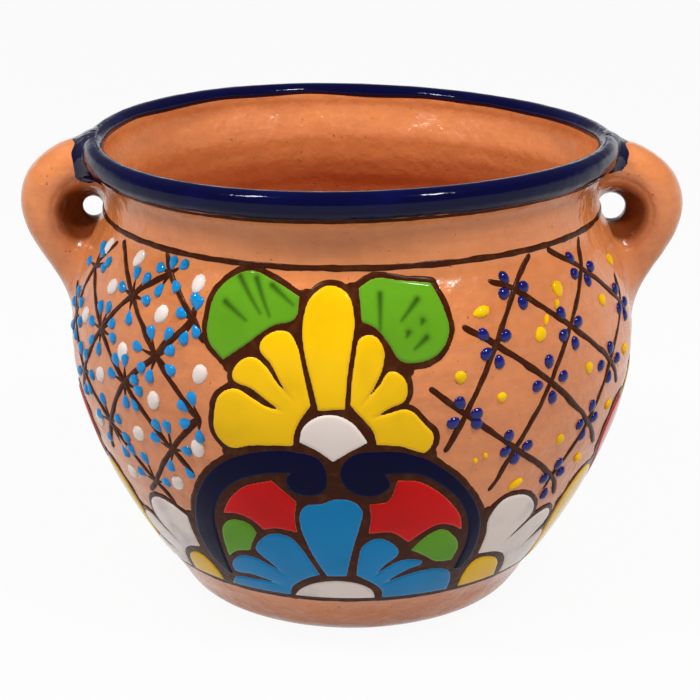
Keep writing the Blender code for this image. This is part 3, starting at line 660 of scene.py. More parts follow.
def end_tree(maker, geometry, finish=None):
    """Close a geometry tree, in Realize Instances and Set Material where it makes a piece."""
    if finish:
        geometry = maker.node("GeometryNodeRealizeInstances", {0: geometry})
        geometry = maker.node("GeometryNodeSetShadeSmooth", {0: geometry})
        geometry = maker.node("GeometryNodeSetMaterial", {"Geometry": geometry, "Material": material(finish)})
    group_out = maker.tree.nodes.new("NodeGroupOutput")
    maker.tree.links.new(geometry.socket, group_out.inputs[0])
    return maker.tree


def grow(name, source, tree, inputs):
    """Run a geometry tree on a mesh and keep the result as an object with a plain mesh."""
    host = put(name, source)
    modifier = host.modifiers.new("grow", "NODES")
    modifier.node_group = tree
    for item in tree.interface.items_tree:
        if item.item_type == "SOCKET" and item.in_out == "INPUT" and item.name in inputs:
            modifier[item.identifier] = inputs[item.name]
    graph = bpy.context.evaluated_depsgraph_get()
    grown = bpy.data.meshes.new_from_object(host.evaluated_get(graph), depsgraph=graph)
    host.modifiers.remove(modifier)
    host.data = grown
    if not grown.polygons:
        raise RuntimeError(f"{name} came out empty")
    return host


def turned_profile(node):
    """Ordered (radius, height) points of a turned node, from the drain hole out and up the outside."""
    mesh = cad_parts[node].data
    spots = [(round(v.co.x, 5), round(v.co.z, 5)) if abs(v.co.y) < NEAR and v.co.x > 0 else None
             for v in mesh.vertices]
    beside = {}
    for edge in mesh.edges:
        a, b = (spots[i] for i in edge.vertices)
        if a and b and a != b:
            beside.setdefault(a, set()).add(b)
            beside.setdefault(b, set()).add(a)
    start = min(beside, key=lambda p: (p[1], p[0]))
    line = [start]
    ahead = max(beside[start])
    while ahead != start:
        line.append(ahead)
        ahead = next(p for p in beside[ahead] if p != line[-2])
    return np.array(line)


def flowing(points, step, corners=(), closed=True):
    """Smooth curve through 2D points, running straight into and out of the corners."""
    points = np.array(points, float)
    count = len(points)
    chord = np.roll(points, -1, axis=0) - points
    distance = np.linalg.norm(chord, axis=1)
    way = chord / distance[:, None]
    lean = way * np.roll(distance, 1)[:, None] + np.roll(way, 1, axis=0) * distance[:, None]
    lean /= np.linalg.norm(lean, axis=1)[:, None]
    pieces = []
    for i in range(count if closed else count - 1):
        j = (i + 1) % count
        first = way[i] if i in corners or (not closed and i == 0) else lean[i]
        last = way[i] if j in corners or (not closed and j == count - 1) else lean[j]
        steps = max(1, round(distance[i] / step))
        t = (np.arange(steps) / steps)[:, None]
        pieces.append((2 * t ** 3 - 3 * t ** 2 + 1) * points[i] + (3 * t ** 2 - 2 * t ** 3) * points[j]
                      + (t ** 3 - 2 * t ** 2 + t) * first * distance[i]
                      + (t ** 3 - t ** 2) * last * distance[i])
    if not closed:
        pieces.append(points[-1:])
    return np.concatenate(pieces)


def sharp_turns(points):
    """Indices of the closed line's points where it turns by more than a corner's angle."""
    chord = np.roll(points, -1, axis=0) - points
    heading = np.arctan2(chord[:, 1], chord[:, 0])
    turn = np.abs((heading - np.roll(heading, 1) + pi) % (2 * pi) - pi)
    return set(np.nonzero(turn > CORNER_TURN)[0])


def run_along(points):
    """Distance along a line at each of its points."""
    return np.concatenate([[0], np.cumsum(np.hypot(*np.diff(points, axis=0).T))])


def smooth_step(value, low, high):
    """Smooth rise from 0 at low to 1 at high."""
    share = np.clip((value - low) / (high - low), 0, 1)
    return share ** 2 * (3 - 2 * share)


def rolled(depth, width):
    """Rounded rise from 0 at a glaze's edge to 1 this width in."""
    return np.sqrt(1 - (1 - np.clip(depth / width, 0, 1)) ** 2)


def thinness(depth):
    """1 at a glaze's edge, 0 where it is full."""
    return 1 - np.clip(depth / THIN_EDGE, 0, 1)


def spread(degrees, percent):
    """Degrees of a medallion place, moved outwards low on the bowl."""
    low = max(0, 1 - percent / SPREAD_TOP)
    middle = max(0, 1 - (degrees / SPREAD_SIDE) ** 2)
    return degrees * (1 + LOW_SPREAD * low * middle)


class Line:
    """A (radius, height) line up the clay, measured along its length."""

    def __init__(self, points):
        self.points = points
        self.run = run_along(points)
        along = np.gradient(points, self.run, axis=0)
        along /= np.linalg.norm(along, axis=1)[:, None]
        self.out = np.stack([along[:, 1], -along[:, 0]], axis=1)

    def up_to(self, height):
        """Distance along the line to a height."""
        return float(np.interp(height, self.points[:, 1], self.run))

    def place(self, distance, lift, turn):
        """Points at distances along the line, lifted off its outside and turned round the axis."""
        radius, height = (np.interp(distance, self.run, self.points[:, k])
                          + np.interp(distance, self.run, self.out[:, k]) * lift for k in (0, 1))
        return np.stack([radius * np.sin(turn), -radius * np.cos(turn), height], axis=-1)


class Wall(Line):
    """The bowl's smooth profile, and the outside of it that the pattern is laid on."""

    def __init__(self):
        points = turned_profile("vessel")
        self.loop = flowing(points, PROFILE_STEP, sharp_turns(points))
        self.loop[:, 1] = np.maximum(self.loop[:, 1], 0)
        height = self.loop[:, 1]
        start = int(np.argmax(height > FOOT_EDGE_HEIGHT - NEAR))
        super().__init__(self.loop[start:int(np.argmax(height > LIP_HEIGHT)) + 1])
        self.shell = self.loop[start:int(np.argmax(height)) + 1]
        self.base = self.up_to(BASE_LINE_HEIGHT)
        self.band = self.up_to(NECK_LINE_HEIGHT) - self.base

    def sheet(self, degrees, percent):
        """Sheet point of a place in the pattern."""
        return radians(degrees) * BELLY_RADIUS, self.base + self.band * percent / 100

    def medallion(self, place, turn=0.0):
        """Sheet point of a place round the medallion at this turn, drawn wider low on the bowl."""
        x, y = self.sheet(spread(*place), place[1])
        return x + turn * BELLY_RADIUS, y

    def squeeze(self, y):
        """Width on the wall of a metre of sheet at this distance up."""
        return np.interp(y, self.run, self.points[:, 0]) / BELLY_RADIUS

    def clear(self, radius, height):
        """Distance off the outside of the wall and over the lip, negative within it."""
        a = np.concatenate([[[self.shell[0, 0], BELOW_GROUND]], self.shell[::2]])
        b = np.concatenate([a[1:], self.shell[-1:]])
        side = b - a
        off_r = radius[:, None] - a[:, 0]
        off_z = height[:, None] - a[:, 1]
        share = np.clip((off_r * side[:, 0] + off_z * side[:, 1]) / (side ** 2).sum(axis=1), 0, 1)
        away = np.hypot(off_r - share * side[:, 0], off_z - share * side[:, 1])
        near = np.argmin(away, axis=1)
        row = np.arange(len(radius))
        facing = side[near, 1] * off_r[row, near] - side[near, 0] * off_z[row, near]
        return away[row, near] * np.where(facing >= 0, 1, -1)


WALL = Wall()


def wander(x, y, size, height):
    """Slow unevenness of this size and height, from waves that never fall in step, for hand-drawn edges."""
    u, v = x / size, y / size
    return height / 3 * (np.sin(u + 1.7 * np.sin(0.7 * v)) + np.sin(1.3 * v + 2.1 * np.sin(0.5 * u + 1))
                         + np.sin(0.8 * (u + v) + 4))


def sizes():
    return bpy.context.scene.planter_sizes


def colour(name):
    return tuple(getattr(bpy.context.scene.planter_colours, name))


def soften(points):
    """Move points with the soft rim: sag, tilt and twist, more the nearer they are to the lip."""
    x, y, z = points.T
    turn = np.arctan2(x, -y)
    share = smooth_step(z, SOFT_FROM, SOFT_TO)
    rim = sizes()
    fall = (-rim.rim_sag + rim.rim_tilt * np.cos(turn - TILT_TOWARDS)
            + rim.rim_twist * np.cos(2 * (turn - TWIST_TOWARDS)))
    draw = -RIM_DRAW * (1 + np.sin(turn))
    grown = 1 + draw * share / np.maximum(np.hypot(x, y), NEAR)
    return np.stack([x * grown, y * grown, z + fall * share], axis=1)


def plain_mesh(name, points, faces, **values):
    """A smooth mesh with float attributes on its points."""
    mesh = bpy.data.meshes.new(name)
    mesh.from_pydata(np.asarray(points).tolist(), [], [list(map(int, face)) for face in faces])
    for label, numbers in values.items():
        mark(mesh, label, numbers)
    mesh.shade_smooth()
    return mesh


def hand_over(piece, finish, *nodes):
    """Soften a finished piece with the rim, hang it on the root body, and hide the imported parts that it
    stands for.
    """
    points = np.zeros(len(piece.data.vertices) * 3, np.float32)
    piece.data.vertices.foreach_get("co", points)
    piece.data.vertices.foreach_set("co", soften(points.reshape(-1, 3)).astype(np.float32).ravel())
    piece.data.update()
    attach(piece, "root")
    if nodes:
        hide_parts(*nodes)


def add_piece(name, mesh, finish, *nodes):
    """Make an object of a mesh, with its material, and hand it over."""
    mesh.materials.append(material(finish))
    hand_over(put(name, mesh), finish, *nodes)


def face_outward(mesh):
    """Turn a closed mesh's faces outward."""
    bm = bmesh.new()
    bm.from_mesh(mesh)
    bmesh.ops.recalc_face_normals(bm, faces=bm.faces)
    bm.to_mesh(mesh)
    bm.free()


def blank_nodes(owner):
    """The maker of a new material's or world's nodes, with none in it."""
    owner.use_nodes = True
    owner.node_tree.nodes.clear()
    return Maker(owner.node_tree)


def material(finish):
    """The procedural material of a finish, made once."""
    found = bpy.data.materials.get(finish)
    if found:
        return found
    made = bpy.data.materials.new(finish)
    maker = blank_nodes(made)
    shader = {"clay": clay_shader, "lip": lip_shader, "brown": brown_shader, "white": white_shader,
              "handle": handle_shader}.get(finish, enamel_shader)(maker, finish)
    maker.node("ShaderNodeOutputMaterial", {"Surface": shader})
    return made


def noise(maker, scale, detail, stretch=None):
    """Noise on the object's own coordinates, squeezed along the axes where stretch says."""
    place = maker.node("ShaderNodeTexCoord", out="Object")
    if stretch:
        place = maker.node("ShaderNodeMapping", {"Vector": place, "Scale": stretch})
    return maker.node("ShaderNodeTexNoise", {"Vector": place, "Scale": scale, "Detail": detail})


def pattern(maker, name, stretch=None, least=0.0):
    """A pattern of the table, from least where it is absent to its share where it is full."""
    scale, detail, low, high, share = PATTERNS[name]
    return noise(maker, scale, detail, stretch).ramp(low, high, least, share)


def bump(maker, height, distance):
    return maker.node("ShaderNodeBump", {"Strength": 1.0, "Distance": distance, "Height": height})


def skin(maker, name):
    """The unevenness of a glaze."""
    scale, detail, height = SKINS[name]
    return bump(maker, noise(maker, scale, detail), height)


def clay_colour(maker):
    """Mottled clay with wheel lines and small dark pits, and painted shade down inside the bowl."""
    dark = colour("clay_mottle_and_shade")
    spots = (pattern(maker, "mottle") + pattern(maker, "wheel lines", WHEEL_STRETCH)
             + pattern(maker, "fine grain"))
    x, y, z = maker.node("ShaderNodeTexCoord", out="Object").parts()
    # Painted shade: darker clay down inside the bowl, where the inner wall is in shade
    within = CONE_RADIUS - z * CONE_SLOPE - (x * x + y * y).math("SQRT")
    inside = within.ramp(-CONE_FADE, CONE_FADE) * z.ramp(*INSIDE_SHADE_BOTTOM) * z.ramp(*INSIDE_SHADE_TOP)
    tone = maker.mix(spots, colour("clay"), dark)
    tone = maker.mix(inside * INSIDE_SHADE_SHARE, tone, dark)
    return maker.mix(pattern(maker, "pits"), tone, colour("brown"))


def clay_bump(maker):
    return bump(maker, noise(maker, *CLAY_GRAIN) * GRAIN_SHARE + noise(maker, *CLAY_SWELL), CLAY_BUMP)


def principled(maker, base, normal, gloss):
    """A shader of a base colour, a bump, and the pair of roughness and specular level."""
    return maker.node("ShaderNodeBsdfPrincipled", {
        "Base Color": base, "Roughness": gloss[0], "Specular IOR Level": gloss[1], "Normal": normal})


def point_value(maker, name):
    """A float attribute of the piece's own points, 0 where it has none."""
    return maker.node("ShaderNodeAttribute", out="Fac", attribute_name=name)


def thin_edge(maker, finish):
    """1 at the edge of a glaze, falling to 0 where it is thick enough to cover."""
    return point_value(maker, "thin").ramp(THIN_FROM.get(finish, ENAMEL_THIN_FROM), 1.0)


def clay_shader(maker, finish):
    roughness = pattern(maker, "dull spots", least=SMOOTHEST_CLAY)
    return principled(maker, clay_colour(maker), clay_bump(maker), (roughness, CLAY_SPECULAR))


def handle_shader(maker, finish):
    """Clay of the handles, with cobalt over the upper root, and dark pooled glaze with painted shade in the
    hole.
    """
    dab = point_value(maker, "dab").ramp(*DAB_EDGE)
    shade = maker.mix(point_value(maker, "pool"), clay_colour(maker), POOL_SHADE_COLOUR)
    base = maker.mix(dab, shade, colour("cobalt"))
    roughness = dab.ramp(0, 1, HANDLE_ROUGHNESS, DAB_ROUGHNESS)
    return principled(maker, base, clay_bump(maker), (roughness, CLAY_SPECULAR))


def lip_shader(maker, finish):
    """Deep cobalt, bluer in streaks and browner at its edges."""
    deep = maker.mix(pattern(maker, "bright streaks"), colour("cobalt"), COBALT_STREAK)
    base = maker.mix(thin_edge(maker, finish), deep, colour("brown"))
    return principled(maker, base, skin(maker, finish), GLOSS[finish])


def brown_shader(maker, finish):
    """Brown slip with paler, dry streaks."""
    base = maker.mix(pattern(maker, "dry streaks"), colour("brown"), colour("brown_thin"))
    return principled(maker, base, skin(maker, finish), GLOSS[finish])


def enamel_shader(maker, finish):
    """Enamel, pooled darker in places and thin at the edge, with veins on green."""
    tone = colour(finish)
    pooled = (*(POOLED_SHADE * c for c in tone[:3]), 1)
    edge = (*(GLAZE_LEFT * c + clay for c, clay in zip(tone, CLAY_SHOWING)), 1)
    if finish in ("cobalt", "navy"):
        edge = DARK_EDGE
    base = maker.mix(pattern(maker, "pooling"), tone, pooled)
    if finish == "green":
        base = maker.mix(point_value(maker, "vein") * VEIN_STRENGTH, base, VEIN_COLOUR)
    base = maker.mix(thin_edge(maker, finish), base, edge)
    return principled(maker, base, skin(maker, "enamel"), GLOSS.get(finish, ENAMEL_GLOSS))


def white_shader(maker, finish):
    """White enamel with greyish streaks, greyer low on the bowl."""
    low = maker.node("ShaderNodeTexCoord", out="Object").parts()[2].ramp(*GREY_LOW_DOWN)
    body = maker.mix(pattern(maker, "grey streaks") * low, colour("white"), GREY_STREAK)
    body = maker.mix(thin_edge(maker, finish), body, WHITE_EDGE)
    return principled(maker, body, skin(maker, "enamel"), GLOSS[finish])


def profile_curve(name, line, closed):
    """A curve object of (radius, height) points in the XZ plane, for a geometry tree to read."""
    curve = bpy.data.curves.new(name, "CURVE")
    curve.dimensions = "3D"
    spline = curve.splines.new("POLY")
    spline.points.add(len(line) - 1)
    spline.points.foreach_set("co", [c for r, z in line for c in (r, 0, z, 1)])
    spline.use_cyclic_u = closed
    return put(name, curve)


def turned_place(maker, spot, along, lift, turn):
    """Place of a profile point, lifted off the profile and turned round the axis."""
    radius, _, height = spot
    along_r, _, along_z = along
    radius = radius + along_z * lift
    height = height - along_r * lift
    return maker.vector(radius * turn.sine(), -1 * radius * turn.cosine(), height)


def turned_tree():
    """Turns a closed profile into thrown clay, with finger ripples and an uneven skin."""
    maker, given = geometry_tree("thrown clay", {
        "Profile": "Object", "Rows": "Int", "Segments": "Int", "Ripple height": "Float",
        "Ripple pitch": "Float", "Unevenness": "Float"})
    rows, segments = given["Rows"], given["Segments"]
    grid = maker.node("GeometryNodeMeshGrid", {
        "Size X": 1.0, "Size Y": 1.0, "Vertices X": rows + 1, "Vertices Y": segments + 1})
    across, around, _ = maker.node("GeometryNodeInputPosition").parts()
    row = ((across + 0.5) * rows).math("ROUND").math("MODULO", rows)
    turn = (around + 0.5) * (2 * pi)
    profile = maker.node("GeometryNodeObjectInfo", {"Object": given["Profile"]}, out="Geometry")

    def sampled(kind):
        value = maker.node(kind)
        return maker.node("GeometryNodeSampleIndex", {"Geometry": profile, "Value": value, "Index": row},
                          data_type="FLOAT_VECTOR", domain="POINT").parts()

    spot = sampled("GeometryNodeInputPosition")
    radius, _, height = spot
    ripple = (height / given["Ripple pitch"] * (2 * pi) + turn).sine() * given["Ripple height"]
    where = maker.vector(radius * turn.cosine(), radius * turn.sine(), height)
    rough = maker.node("ShaderNodeTexNoise", {
        "Vector": where, "Scale": UNEVEN_SCALE, "Detail": UNEVEN_DETAIL})
    lift = (ripple + (rough - 0.5) * given["Unevenness"]) * height.ramp(UNEVEN_FROM, UNEVEN_TO)
    place = turned_place(maker, spot, sampled("GeometryNodeInputTangent"), lift, turn)
    shaped = maker.node("GeometryNodeSetPosition", {"Geometry": grid, "Position": place})
    closed = maker.node("GeometryNodeMergeByDistance", {"Geometry": shaped, "Distance": NEAR})
    return end_tree(maker, closed, "clay")


def drape_group():
    """Lays a flat sheet, x round the belly, y up the wall and z off it, on the turned wall."""
    maker, given = geometry_tree("drape on the wall", {"Wall": "Object", "Belly radius": "Float"})
    x, y, lift = maker.node("GeometryNodeInputPosition").parts()
    wall = maker.node("GeometryNodeObjectInfo", {"Object": given["Wall"]}, out="Geometry")
    spot, along = (
        maker.node("GeometryNodeSampleCurve", {"Curves": wall, "Length": y}, out=output,
                   mode="LENGTH", use_all_curves=True).parts()
        for output in ("Position", "Tangent"))
    place = turned_place(maker, spot, along, lift, x / given["Belly radius"])
    return end_tree(maker, maker.node("GeometryNodeSetPosition", {
        "Geometry": given["Geometry"], "Position": place}))


def wall_tree(name, inputs):
    """A geometry tree whose result is draped on the wall: its maker, inputs, and how it ends."""
    maker, given = geometry_tree(name, {"Wall": "Object", "Belly radius": "Float", **inputs})

    def end(geometry, finish):
        group = bpy.data.node_groups.get("drape on the wall") or drape_group()
        sheet = {"Geometry": geometry, "Wall": given["Wall"], "Belly radius": given["Belly radius"]}
        draped = maker.node("GeometryNodeGroup", sheet, node_tree=group)
        return end_tree(maker, draped, finish)

    return maker, given, end


def trailed_tree(finish):
    """Sweeps flat, hand-drawn lines of slip along edges and lays them on the wall."""
    maker, given, end = wall_tree(f"trailed {finish}", {
        "Flatness": "Float", "Step": "Float", "Waver": "Float"})
    curve = maker.node("GeometryNodeMeshToCurve", {"Mesh": given["Geometry"]})
    curve = maker.node("GeometryNodeCurveSplineType", {"Curve": curve}, spline_type="CATMULL_ROM")
    curve = maker.node("GeometryNodeResampleCurve", {"Curve": curve, "Length": given["Step"]}, mode="LENGTH")
    drift = maker.node("ShaderNodeTexNoise", {"Scale": WAVER_SCALE, "Detail": 1.0}, out="Color")
    dx, dy, swell = drift.parts()
    offset = maker.vector((dx - 0.5) * given["Waver"], (dy - 0.5) * given["Waver"], 0.0)
    curve = maker.node("GeometryNodeSetPosition", {"Geometry": curve, "Offset": offset})
    brush = maker.node("GeometryNodeCurvePrimitiveCircle", {
        "Resolution": BRUSH_SIDES, "Radius": 1.0}, mode="RADIUS")
    width = maker.attribute("half") * (swell * SWELL + LEAST_WIDTH)
    swept = maker.node("GeometryNodeCurveToMesh", {
        "Curve": curve, "Profile Curve": brush, "Scale": width, "Fill Caps": True})
    x, y, z = maker.node("GeometryNodeInputPosition").parts()
    flat = maker.vector(x, y, z * given["Flatness"])
    return end(maker.node("GeometryNodeSetPosition", {"Geometry": swept, "Position": flat}), finish)


def drops_tree(finish):
    """Sets a glaze drop on each point, sized and turned by the point, and lays them on the wall."""
    maker, given, end = wall_tree(f"drops {finish}", {"Taper": "Float"})
    ball = maker.node("GeometryNodeMeshUVSphere", {
        "Segments": DROP_SEGMENTS, "Rings": DROP_RINGS, "Radius": 1.0})
    x, y, z = maker.node("GeometryNodeInputPosition").parts()
    narrow = 1 + y * given["Taper"]
    drop = maker.node("GeometryNodeSetPosition", {
        "Geometry": ball, "Position": maker.vector(x * narrow, y, z * narrow)})
    turn = maker.node("FunctionNodeEulerToRotation", {0: maker.vector(0.0, 0.0, maker.attribute("turn"))})
    laid = maker.node("GeometryNodeInstanceOnPoints", {
        "Points": given["Geometry"], "Instance": drop, "Rotation": turn,
        "Scale": maker.attribute("size", "FLOAT_VECTOR")})
    return end(maker.node("GeometryNodeRealizeInstances", {0: laid}), finish)


def on_wall(**inputs):
    """Inputs of a wall tree, with the wall's outside as a curve, made once."""
    guide = bpy.data.objects.get("wall_guide") or profile_curve("wall_guide", WALL.points, closed=False)
    return {"Wall": guide, "Belly radius": BELLY_RADIUS, **inputs}


def trail(name, finish, lines, waver):
    """Make one piece of trailed lines. A line is its sheet points and half widths."""
    points, edges, half = [], [], []
    for path, widths in lines:
        edges += [(i, i + 1) for i in range(len(points), len(points) + len(path) - 1)]
        points += [(x, y, 0) for x, y in path]
        half += widths
    mesh = bpy.data.meshes.new(name)
    mesh.from_pydata(points, edges, [])
    mark(mesh, "half", half)
    piece = grow(name, mesh, trailed_tree(finish),
                 on_wall(Flatness=sizes().line_flatness, Step=LINE_STEP, Waver=waver))
    face_outward(piece.data)
    hand_over(piece, finish)


def scatter(name, finish, drops):
    """Make one piece of glaze drops. A drop is its sheet point, half sizes and turn."""
    places, shapes, turns = zip(*drops)
    mesh = bpy.data.meshes.new(name)
    mesh.from_pydata([(x, y, 0) for x, y in places], [], [])
    mark(mesh, "size", shapes, "FLOAT_VECTOR", "vector")
    mark(mesh, "turn", turns)
    hand_over(grow(name, mesh, drops_tree(finish), on_wall(Taper=TAPERS[finish])), finish)


def outline(points):
    """Closed smooth outline on the sheet of a field's points."""
    corners = {i for i, p in enumerate(points) if len(p) == 3}
    return flowing([WALL.sheet(*p[:2]) for p in points], OUTLINE_STEP, corners)


def depth_inside(line, xs, ys):
    """Distance in from a closed outline at each grid point, negative outside, as it lies on the wall."""
    px, py = (grid[..., None] for grid in np.meshgrid(xs, ys, indexing="ij"))
    ax, ay = line.T
    bx, by = np.roll(line, -1, axis=0).T
    width = WALL.squeeze(py)
    ux, uy = (px - ax) * width, py - ay
    wx, wy = (bx - ax) * width, by - ay
    share = np.clip((ux * wx + uy * wy) / (wx ** 2 + wy ** 2), 0, 1)
    away = np.hypot(ux - share * wx, uy - share * wy).min(axis=-1)
    rise = np.where(by == ay, NEAR, by - ay)
    right_of = px < ax + (py - ay) / rise * (bx - ax)
    crossings = (((ay > py) != (by > py)) & right_of).sum(axis=-1)
    return np.where(crossings % 2 == 1, away, -away)


def cut_grid(value, xs, ys):
    """Points, their depth and faces of the part of a grid above zero, cut along its zero line."""
    inside = value > 0
    ids = np.full(value.shape, -1)
    ids[inside] = np.arange(inside.sum())
    px, py = np.meshgrid(xs, ys, indexing="ij")
    points = np.stack([px[inside], py[inside]], axis=1).tolist()
    corners = [inside[:-1, :-1], inside[1:, :-1], inside[1:, 1:], inside[:-1, 1:]]
    whole = np.logical_and.reduce(corners)
    i, j = np.nonzero(whole)
    faces = np.stack([ids[i, j], ids[i + 1, j], ids[i + 1, j + 1], ids[i, j + 1]], axis=1).tolist()
    crossed = {}
    for i, j in np.argwhere(np.logical_or.reduce(corners) & ~whole).tolist():
        ring = [(i, j), (i + 1, j), (i + 1, j + 1), (i, j + 1)]
        face = []
        for here, there in zip(ring, ring[1:] + ring[:1]):
            if inside[here]:
                face.append(int(ids[here]))
            if inside[here] != inside[there]:
                low, high = key = (min(here, there), max(here, there))
                if key not in crossed:
                    share = float(np.clip(value[low] / (value[low] - value[high]), CUT_LOW, CUT_HIGH))
                    crossed[key] = len(points)
                    points.append([xs[low[0]] + (xs[high[0]] - xs[low[0]]) * share,
                                   ys[low[1]] + (ys[high[1]] - ys[low[1]]) * share])
                face.append(crossed[key])
        faces.append(face)
    depth = np.concatenate([value[inside], np.zeros(len(crossed))])
    return np.array(points), depth, faces


def relief(name, finish, value, xs, ys, height, turn, *nodes):
    """Closed raised glaze of this height where a grid is above zero, laid on the wall."""
    points, depth, faces = cut_grid(value, xs, ys)
    count = len(points)
    round_pot = points[:, 0] / BELLY_RADIUS + turn
    top = WALL.place(points[:, 1], rounded(depth, height), round_pot)
    seat = WALL.place(points[:, 1], -SEAT, round_pot)
    ways = {(a, b) for face in faces for a, b in zip(face, face[1:] + face[:1])}
    sides = [[b, a, a + count, b + count] for a, b in ways if (b, a) not in ways]
    under = [[i + count for i in reversed(face)] for face in faces]
    marks = {"thin": np.tile(thinness(depth), 2)}
    if finish == "green":
        marks["vein"] = np.tile(vein_share(points), 2)
    mesh = plain_mesh(name, np.concatenate([top, seat]), faces + under + sides, **marks)
    add_piece(name, mesh, finish, *nodes)


def vein_share(points):
    """How dark the leaf veins are at sheet points, from 0 to 1."""
    share = np.zeros(len(points))
    for vein in VEINS:
        start, end = (np.array(WALL.medallion(place)) for place in vein)
        side = end - start
        along = np.clip((points - start) @ side / (side @ side), 0, 1)
        away = np.hypot(*(points - start - along[:, None] * side).T)
        dark = np.exp(-(away / (VEIN_HALF * (1 - VEIN_TAPER * along))) ** 2) * (1 - VEIN_FADE * along)
        share = np.maximum(share, dark)
    return share


def rounded(depth, height):
    """Height of a glaze with a rolled edge, crowned a little further in."""
    roll = sizes().enamel_roll
    return height * (rolled(depth, roll) + CROWN_SHARE * np.clip(depth / (CROWN_WIDTH * roll), 0, 1))


def medallion_fields():
    """Fields of the medallion as (name, finish, points), drawn wider low on the bowl."""
    return [(name, finish, [(spread(*p[:2]), *p[1:]) for p in points]) for name, finish, points in MEDALLION]


def side_fields():
    """Fields of the flower under a handle as (name, finish, points), its petals mirrored."""
    fields = [(f"side_{name}", finish, points) for name, finish, points in SIDE_MIDDLE]
    for name, finish, points in SIDE_PETALS:
        fields.append((f"side_{name}_a", finish, points))
        fields.append((f"side_{name}_b", finish, [(-p[0], *p[1:]) for p in points[::-1]]))
    return fields


def survey(fields):
    """Common grid of a motif and each field's depth in its own window of that grid."""
    lines = [outline(points) for _, _, points in fields]
    low = np.min([line.min(axis=0) for line in lines], axis=0) - WINDOW
    high = np.max([line.max(axis=0) for line in lines], axis=0) + WINDOW
    xs = np.arange(low[0], high[0], GRID)
    ys = np.arange(low[1], high[1], GRID)
    windows = []
    for line in lines:
        first = ((line.min(axis=0) - WINDOW - low) / GRID).astype(int)
        last = ((line.max(axis=0) + WINDOW - low) / GRID).astype(int) + 1
        part = (slice(max(first[0], 0), last[0]), slice(max(first[1], 0), last[1]))
        windows.append((part, depth_inside(line, xs[part[0]], ys[part[1]])))
    return xs, ys, windows


def handle_solid(points, hole, raised):
    """Depth outside of a right-hand ear with this hole radius, melted into the wall, negative within."""
    x, y, z = points.T
    line = np.array([(NECK_RADIUS + out, WAIST_HEIGHT + raised + up) for out, up, _ in HANDLE_LINE])
    middle = flowing(line, HANDLE_STEP, closed=False)
    run = run_along(middle)
    marks = [run[np.argmin(np.hypot(*(middle - p).T))] for p in line]
    half = np.interp(run, marks, [thick for _, _, thick in HANDLE_LINE]) - HANDLE_DRAWN_IN
    along = np.gradient(middle, run, axis=0)
    near = np.argmin((x[:, None] - middle[:, 0]) ** 2 + (z[:, None] - middle[:, 1]) ** 2, axis=1)
    off_x, off_z = x - middle[near, 0], z - middle[near, 1]
    across = off_z * along[near, 0] - off_x * along[near, 1]
    past = off_x * along[near, 0] + off_z * along[near, 1]
    across = np.hypot(across, past)
    width = HANDLE_HALF_WIDTH + HANDLE_ROOT_FLARE * np.abs(2 * run[near] / run[-1] - 1) ** 3
    size = ((across / half[near]) ** HANDLE_SQUARENESS
            + (np.abs(y) / width) ** HANDLE_SQUARENESS) ** (1 / HANDLE_SQUARENESS)
    ear = np.hypot(across, y) * (1 - 1 / np.maximum(size, HANDLE_CORE))
    from_hole = np.hypot(x - HOLE_PLACE[0], z - HOLE_PLACE[1])
    ear = melt(ear, from_hole - WEB_RADIUS, WEB_BLEND)
    dish = WEB_HALF + (HANDLE_HALF_WIDTH - WEB_HALF) * smooth_step(from_hole, DISH_FROM, DISH_TO)
    dish += np.maximum(from_hole - DISH_TO, 0)
    ear = -melt(-ear, dish - np.abs(y), WEB_BLEND)
    wall = WALL.clear(np.hypot(x, y), z)
    joined = melt(ear, wall + SEAT, HANDLE_BLEND)
    joined = -melt(-joined, from_hole - hole, HOLE_BLEND)
    return np.maximum(np.maximum(joined, -wall - HANDLE_SKIN), ear - HANDLE_REACH)


def melt(first, second, width):
    """Smooth union of two depths."""
    overlap = np.maximum(width - np.abs(first - second), 0) / width
    return np.minimum(first, second) - overlap ** 2 * width / 4


def surface_net(solid, low, high, cell):
    """Closed quad mesh of where a solid's depth is zero, with its points drawn on to the surface."""
    axes = [np.arange(a, b, cell) for a, b in zip(low, high)]
    nx, ny, nz = (len(axis) for axis in axes)
    grid = np.stack(np.meshgrid(*axes, indexing="ij"), axis=-1).reshape(-1, 3)
    inside = np.concatenate([solid(part) for part in np.array_split(grid, NET_PARTS)]).reshape(nx, ny, nz) < 0
    count = sum(inside[i:nx - 1 + i, j:ny - 1 + j, k:nz - 1 + k].astype(int)
                for i, j, k in np.ndindex(2, 2, 2))
    mixed = (count > 0) & (count < 8)
    ids = np.full(mixed.shape, -1)
    ids[mixed] = np.arange(mixed.sum())
    points = np.array(low) + (np.argwhere(mixed) + 0.5) * cell
    faces = []
    for axis in range(3):
        order = [axis, (axis + 1) % 3, (axis + 2) % 3]
        turned, cells = inside.transpose(order), ids.transpose(order)
        a, b, c = np.nonzero(turned[:-1, 1:-1, 1:-1] != turned[1:, 1:-1, 1:-1])
        around = np.stack([cells[a, b, c], cells[a, b + 1, c], cells[a, b + 1, c + 1], cells[a, b, c + 1]], 1)
        leaving = turned[a, b + 1, c + 1]
        faces.append(np.where(leaving[:, None], around, around[:, ::-1]))
    for _ in range(NET_ROUNDS):
        here = solid(points)
        slope = np.stack([(solid(points + step) - here) / NEAR for step in NEAR * np.eye(3)], axis=1)
        shift = slope * (here / np.maximum((slope ** 2).sum(axis=1), NET_LEAST_SLOPE))[:, None]
        points -= np.clip(shift, -cell / 2, cell / 2)
    return points, np.concatenate(faces)


class PlanterOperator(bpy.types.Operator):
    """Common settings of the planter's operators."""

    bl_options = {"REGISTER", "UNDO"}


